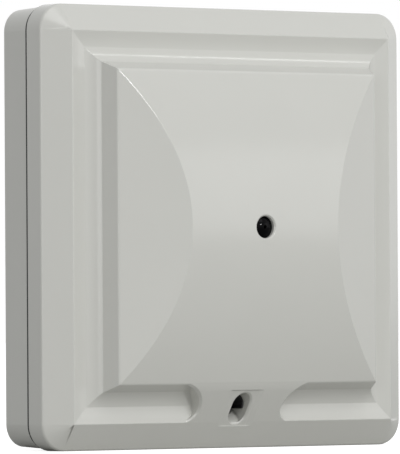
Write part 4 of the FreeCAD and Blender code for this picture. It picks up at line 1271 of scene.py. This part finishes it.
@dataclass
class Diodes:
    """Moulded diodes: resin body with a printed band, and a tinned tab at each end."""

    tab: float = 0.5 * MM
    tab_width: float = 2.0 * MM
    sheet: float = 0.2 * MM
    draft: float = 0.2 * MM
    band: float = 0.7 * MM
    edge: float = 0.06 * MM
    standoff: float = 0.1 * MM

    def build(self) -> None:
        """Makes one diode and copies it."""
        boxes = solids_of("diodes")
        tab = self.bent_tab(boxes[0])
        other_tab = copied(tab, "diode_tab", half_turn=middle(boxes[0]))
        first = joined("diode_1", [self.body(boxes[0]), tab, other_tab])
        smooth(first, MOULDED_DEGREES)
        for number, box in enumerate(boxes[1:], 2):
            other = copied(first, f"diode_{number}", middle(box) - middle(boxes[0]))
            seat(other, "housing", "chip_resin", "diodes")
        seat(first, "housing", "chip_resin", "diodes")

    def body(self, box: Box) -> bpy.types.Object:
        """Makes the body and prints its band.

        Args:
            box: box of the diode's solid.

        Returns:
            The body.
        """
        low, high = box
        inset = Vector((self.tab, 0, 0))
        body = moulded_body("diode_body", low + inset, high - inset - Vector((0, self.standoff, 0)),
                            self.draft, self.edge)
        border = low.x + self.tab + self.draft + self.band
        with editing(body):
            pick_faces(body, lambda face: face.normal.y < -SQUARE)
            bpy.ops.mesh.bisect(plane_co=(border, 0, 0), plane_no=(1, 0, 0))
        paint(body, Finishes.CHIP_RESIN.made())
        paint(body, Finishes.GREY_INK.made(),
              lambda face: face.normal.y < -SQUARE and face.center.x < border)
        return body

    def bent_tab(self, box: Box) -> bpy.types.Object:
        """Bends the left tab round the body's end.

        Args:
            box: box of the diode's solid.

        Returns:
            The tab.
        """
        low, high = box
        start = Vector((low.x + self.sheet / 2, 0, middle(box).z - self.tab_width / 2))
        level, floor = middle(box).y, high.y - self.sheet / 2
        corner, inside = self.sheet / 2, self.tab + self.draft
        runs = [(inside, level), (corner, level), (0, level + corner), (0, floor - corner),
                (corner, floor), (inside, floor)]
        tab = ribbon("diode_tab", [start + Vector((x, y, 0)) for x, y in runs],
                     Vector((0, 0, self.tab_width)), self.sheet)
        paint(tab, Finishes.TIN.made())
        return tab


@dataclass
class SmallChips:
    """Small two-ended chips: ceramic bodies with tinned caps."""

    node: str
    slot: str
    body: Finishes
    face: Finishes
    cap: float = 0.38 * MM
    edge: float = 0.05 * MM
    swell: float = 0.015 * MM
    turned_out: float = 0.5

    def build(self) -> None:
        """Makes one chip and copies it to every place."""
        boxes = solids_of(self.node)
        first = self.chip(boxes[0])
        chips = [first] + [copied(first, "chip", middle(box) - middle(boxes[0])) for box in boxes[1:]]
        row = joined(self.node + "_capped", chips)
        smooth(row)
        seat(row, "housing", self.slot, self.node)

    def chip(self, box: Box) -> bpy.types.Object:
        """Makes a chip with its two caps.

        Args:
            box: box of its solid.

        Returns:
            The chip.
        """
        low, high = box
        inset = Vector((self.swell, self.swell, self.swell))
        piece = start_block("chip", low + inset, high - inset)
        round_edges(piece, self.edge, 2, is_sharp)
        left, right = low.x + self.cap, high.x - self.cap
        with editing(piece):
            for border in (left, right):
                bpy.ops.mesh.select_all(action="SELECT")
                bpy.ops.mesh.bisect(plane_co=(border, 0, 0), plane_no=(1, 0, 0))
            pick_faces(piece, lambda face: not left < face.calc_center_median().x < right)
            bpy.ops.transform.shrink_fatten(value=self.swell)
        paint(piece, self.body.made())
        paint(piece, self.face.made(), lambda part: part.normal.y < -self.turned_out)
        paint(piece, Finishes.TIN.made(), lambda part: not left < part.center.x < right)
        return piece


@dataclass
class SolderPads:
    """Thin tinned pads under the ends of the small chips and diodes."""

    thickness: float = 0.04 * MM
    margin: float = 0.2 * MM
    length: float = 0.75 * MM

    def build(self) -> None:
        """Makes a pair of pads for each kind of part, copies it to every place and joins all."""
        pads: list[bpy.types.Object] = []
        for node in ("resistors", "chip_capacitors", "diodes"):
            boxes = solids_of(node)
            left = self.pad(boxes[0])
            pair = [left, copied(left, "pad", half_turn=middle(boxes[0]))]
            shifts = [middle(box) - middle(boxes[0]) for box in boxes[1:]]
            pads += pair + [copied(pad, "pad", shift) for shift in shifts for pad in pair]
        whole = joined("solder_pads", pads)
        paint(whole, Finishes.TIN.made())
        smooth(whole)
        seat(whole, "housing", "board_laminate")

    def pad(self, box: Box) -> bpy.types.Object:
        """Makes the left pad of a two-ended part.

        Args:
            box: box of the part's solid.

        Returns:
            The pad.
        """
        low, high = box
        left, over = low.x - self.margin, self.margin / 2
        piece = start_block("pad", Vector((left, high.y - self.thickness, low.z - over)),
                            Vector((left + self.length, high.y, high.z + over)))
        round_edges(piece, self.margin / 2, 3, is_upright)
        return piece


@dataclass
class CircuitBoard:
    """Board with everything that is soldered to it."""

    controller_leads: int = 8
    amplifier_leads: int = 4

    def build(self) -> None:
        """Dresses the board and makes its parts."""
        dress(Finishes.BOARD_GREEN, "circuit_board")
        parts = (Chip("controller_chip", self.controller_leads), Chip("amplifier_chip", self.amplifier_leads),
                 Regulator(), Crystal(), Capacitors(), Diodes(), SolderPads(), Relay(),
                 SmallChips("resistors", "chip_ceramic", Finishes.ALUMINA, Finishes.GLAZE),
                 SmallChips("chip_capacitors", "capacitor_ceramic", Finishes.TAN_CERAMIC,
                            Finishes.TAN_CERAMIC))
        for part in parts:
            part.build()


# Studio

@dataclass(frozen=True)
class SoftBox:
    """Lamp that faces the sensor."""

    name: str
    place: tuple[float, float, float]
    width: float
    height: float
    watts: float

    def hang(self) -> None:
        """Hangs the lamp."""
        data = bpy.data.lights.new(self.name, "AREA")
        data.shape = "RECTANGLE"
        data.size, data.size_y = self.width, self.height
        data.energy = self.watts
        lamp = bpy.data.objects.new(self.name, data)
        bpy.context.scene.collection.objects.link(lamp)
        lamp.location = self.place
        lamp.rotation_euler = (-Vector(self.place)).to_track_quat("-Z", "Y").to_euler()


@dataclass
class Studio:
    """Pale floor, soft light and the camera at the photograph's place."""

    camera_mm: tuple[float, float, float] = (-762.6, -979.4, -18.0)
    yaw: float = 38.05
    pitch: float = 0.849
    roll: float = -0.343
    focal_px: float = 6290.0
    long_side_px: float = 454.0
    near: float = 0.05
    far: float = 20.0
    floor_reach: float = 6.0
    floor_gap: float = 0.02 * MM
    floor_sides: int = 96
    paper_mm: float = 25.0
    paper_roughness: float = 0.9
    floor_glow: float = 0.8
    room_light: float = 0.51
    boxes: tuple[SoftBox, ...] = (SoftBox("key_box", (0, -1.25, 1.2), 1.4, 1.0, 8.1),
                                  SoftBox("front_strip", (0.33, -1.87, 0.5), 0.3, 0.09, 7.7),
                                  SoftBox("left_box", (-1.5, -1.2, 0.3), 0.7, 0.7, 3.2),
                                  SoftBox("right_box", (1.35, -1.35, 0.25), 0.7, 0.7, 1.5),
                                  SoftBox("edge_strip", (1.17, -0.75, 1.3), 0.3, 0.06, 0.6))

    def build(self) -> None:
        """Makes the camera, the floor, the room and the lamps."""
        self.camera()
        self.floor()
        self.room()
        for box in self.boxes:
            box.hang()
        LOG.info("studio: camera, floor, room and %d lamps made", len(self.boxes))

    def floor(self) -> None:
        """Lays a pale floor under the sensor, white where the camera sees it lit."""
        bpy.ops.object.select_all(action="DESELECT")
        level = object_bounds()[0].z - self.floor_gap
        bpy.ops.mesh.primitive_circle_add(vertices=self.floor_sides, radius=self.floor_reach,
                                          fill_type="NGON", location=(0, 0, level))
        floor = bpy.context.object
        floor.name = "studio_floor"
        bpy.ops.object.transform_apply(location=True, rotation=True, scale=True)
        material, tree, shader, place = start_material("paper_floor")
        # Paper: a pale matt tone that varies a little
        fibre = add_node(tree, "ShaderNodeTexNoise",
                         inputs={"Vector": place, "Scale": 1 / (self.paper_mm * MM)})
        tone = add_node(tree, "ShaderNodeMix", {"data_type": "RGBA"},
                        {0: fibre.outputs["Fac"], 6: linear("#B8B8B6"), 7: linear("#B4B4B2")})
        tree.links.new(tone.outputs[2], shader.inputs["Base Color"])
        shader.inputs["Roughness"].default_value = self.paper_roughness
        path = add_node(tree, "ShaderNodeLightPath")
        seen = add_node(tree, "ShaderNodeMath", {"operation": "MULTIPLY"},
                        {0: path.outputs["Is Camera Ray"], 1: self.floor_glow})
        glow = add_node(tree, "ShaderNodeEmission",
                        inputs={"Color": (1, 1, 1, 1), "Strength": seen.outputs["Value"]})
        both = add_node(tree, "ShaderNodeAddShader",
                        inputs={0: shader.outputs["BSDF"], 1: glow.outputs["Emission"]})
        output = next(node for node in tree.nodes if node.type == "OUTPUT_MATERIAL")
        tree.links.new(both.outputs["Shader"], output.inputs["Surface"])
        floor.data.materials.append(material)
        floor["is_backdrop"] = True

    def room(self) -> None:
        """Lights the room evenly, and shows white behind the sensor and in what mirrors it."""
        world = bpy.data.worlds.new("white_room")
        bpy.context.scene.world = world
        world.use_nodes = True
        tree = world.node_tree
        tree.nodes.clear()
        path = add_node(tree, "ShaderNodeLightPath")
        mirrored = add_node(tree, "ShaderNodeMath", {"operation": "MAXIMUM"},
                            {0: path.outputs["Is Glossy Ray"], 1: path.outputs["Is Transmission Ray"]})
        shows = add_node(tree, "ShaderNodeMath", {"operation": "MAXIMUM"},
                         {0: path.outputs["Is Camera Ray"], 1: mirrored.outputs["Value"]})
        light = add_node(tree, "ShaderNodeBackground",
                         inputs={"Color": linear("#FBFCFF"), "Strength": self.room_light})
        white = add_node(tree, "ShaderNodeBackground", inputs={"Color": (1, 1, 1, 1), "Strength": 1.0})
        shown = add_node(tree, "ShaderNodeMixShader",
                         inputs={0: shows.outputs["Value"], 1: light.outputs["Background"],
                                 2: white.outputs["Background"]})
        add_node(tree, "ShaderNodeOutputWorld", inputs={"Surface": shown.outputs["Shader"]})

    def camera(self) -> None:
        """Places the camera as the photograph's was."""
        data = bpy.data.cameras.new("camera")
        data.lens = data.sensor_width * self.focal_px / self.long_side_px
        data.clip_start, data.clip_end = self.near, self.far
        camera = bpy.data.objects.new("camera", data)
        bpy.context.scene.collection.objects.link(camera)
        yaw, pitch, roll = (math.radians(angle) for angle in (self.yaw, self.pitch, self.roll))
        out = math.cos(pitch)
        ahead = Vector((math.sin(yaw) * out, math.cos(yaw) * out, math.sin(pitch)))
        level = Vector((math.cos(yaw), -math.sin(yaw), 0))
        upright = level.cross(ahead)
        right = math.cos(roll) * level + math.sin(roll) * upright
        above = -math.sin(roll) * level + math.cos(roll) * upright
        turn = Matrix((right, above, -ahead)).transposed().to_4x4()
        camera.matrix_world = Matrix.Translation(Vector(self.camera_mm) * MM) @ turn
        bpy.context.scene.camera = camera
        bpy.context.scene.view_settings.view_transform = "Standard"


def main() -> None:
    """Builds every sub-assembly in order."""
    logging.basicConfig(level=logging.INFO, format="%(name)s: %(message)s")
    for part in (Studio(), Housing(), Screws(), Listening(), Switches(), CircuitBoard()):
        part.build()


if __name__ == "__main__":
    main()
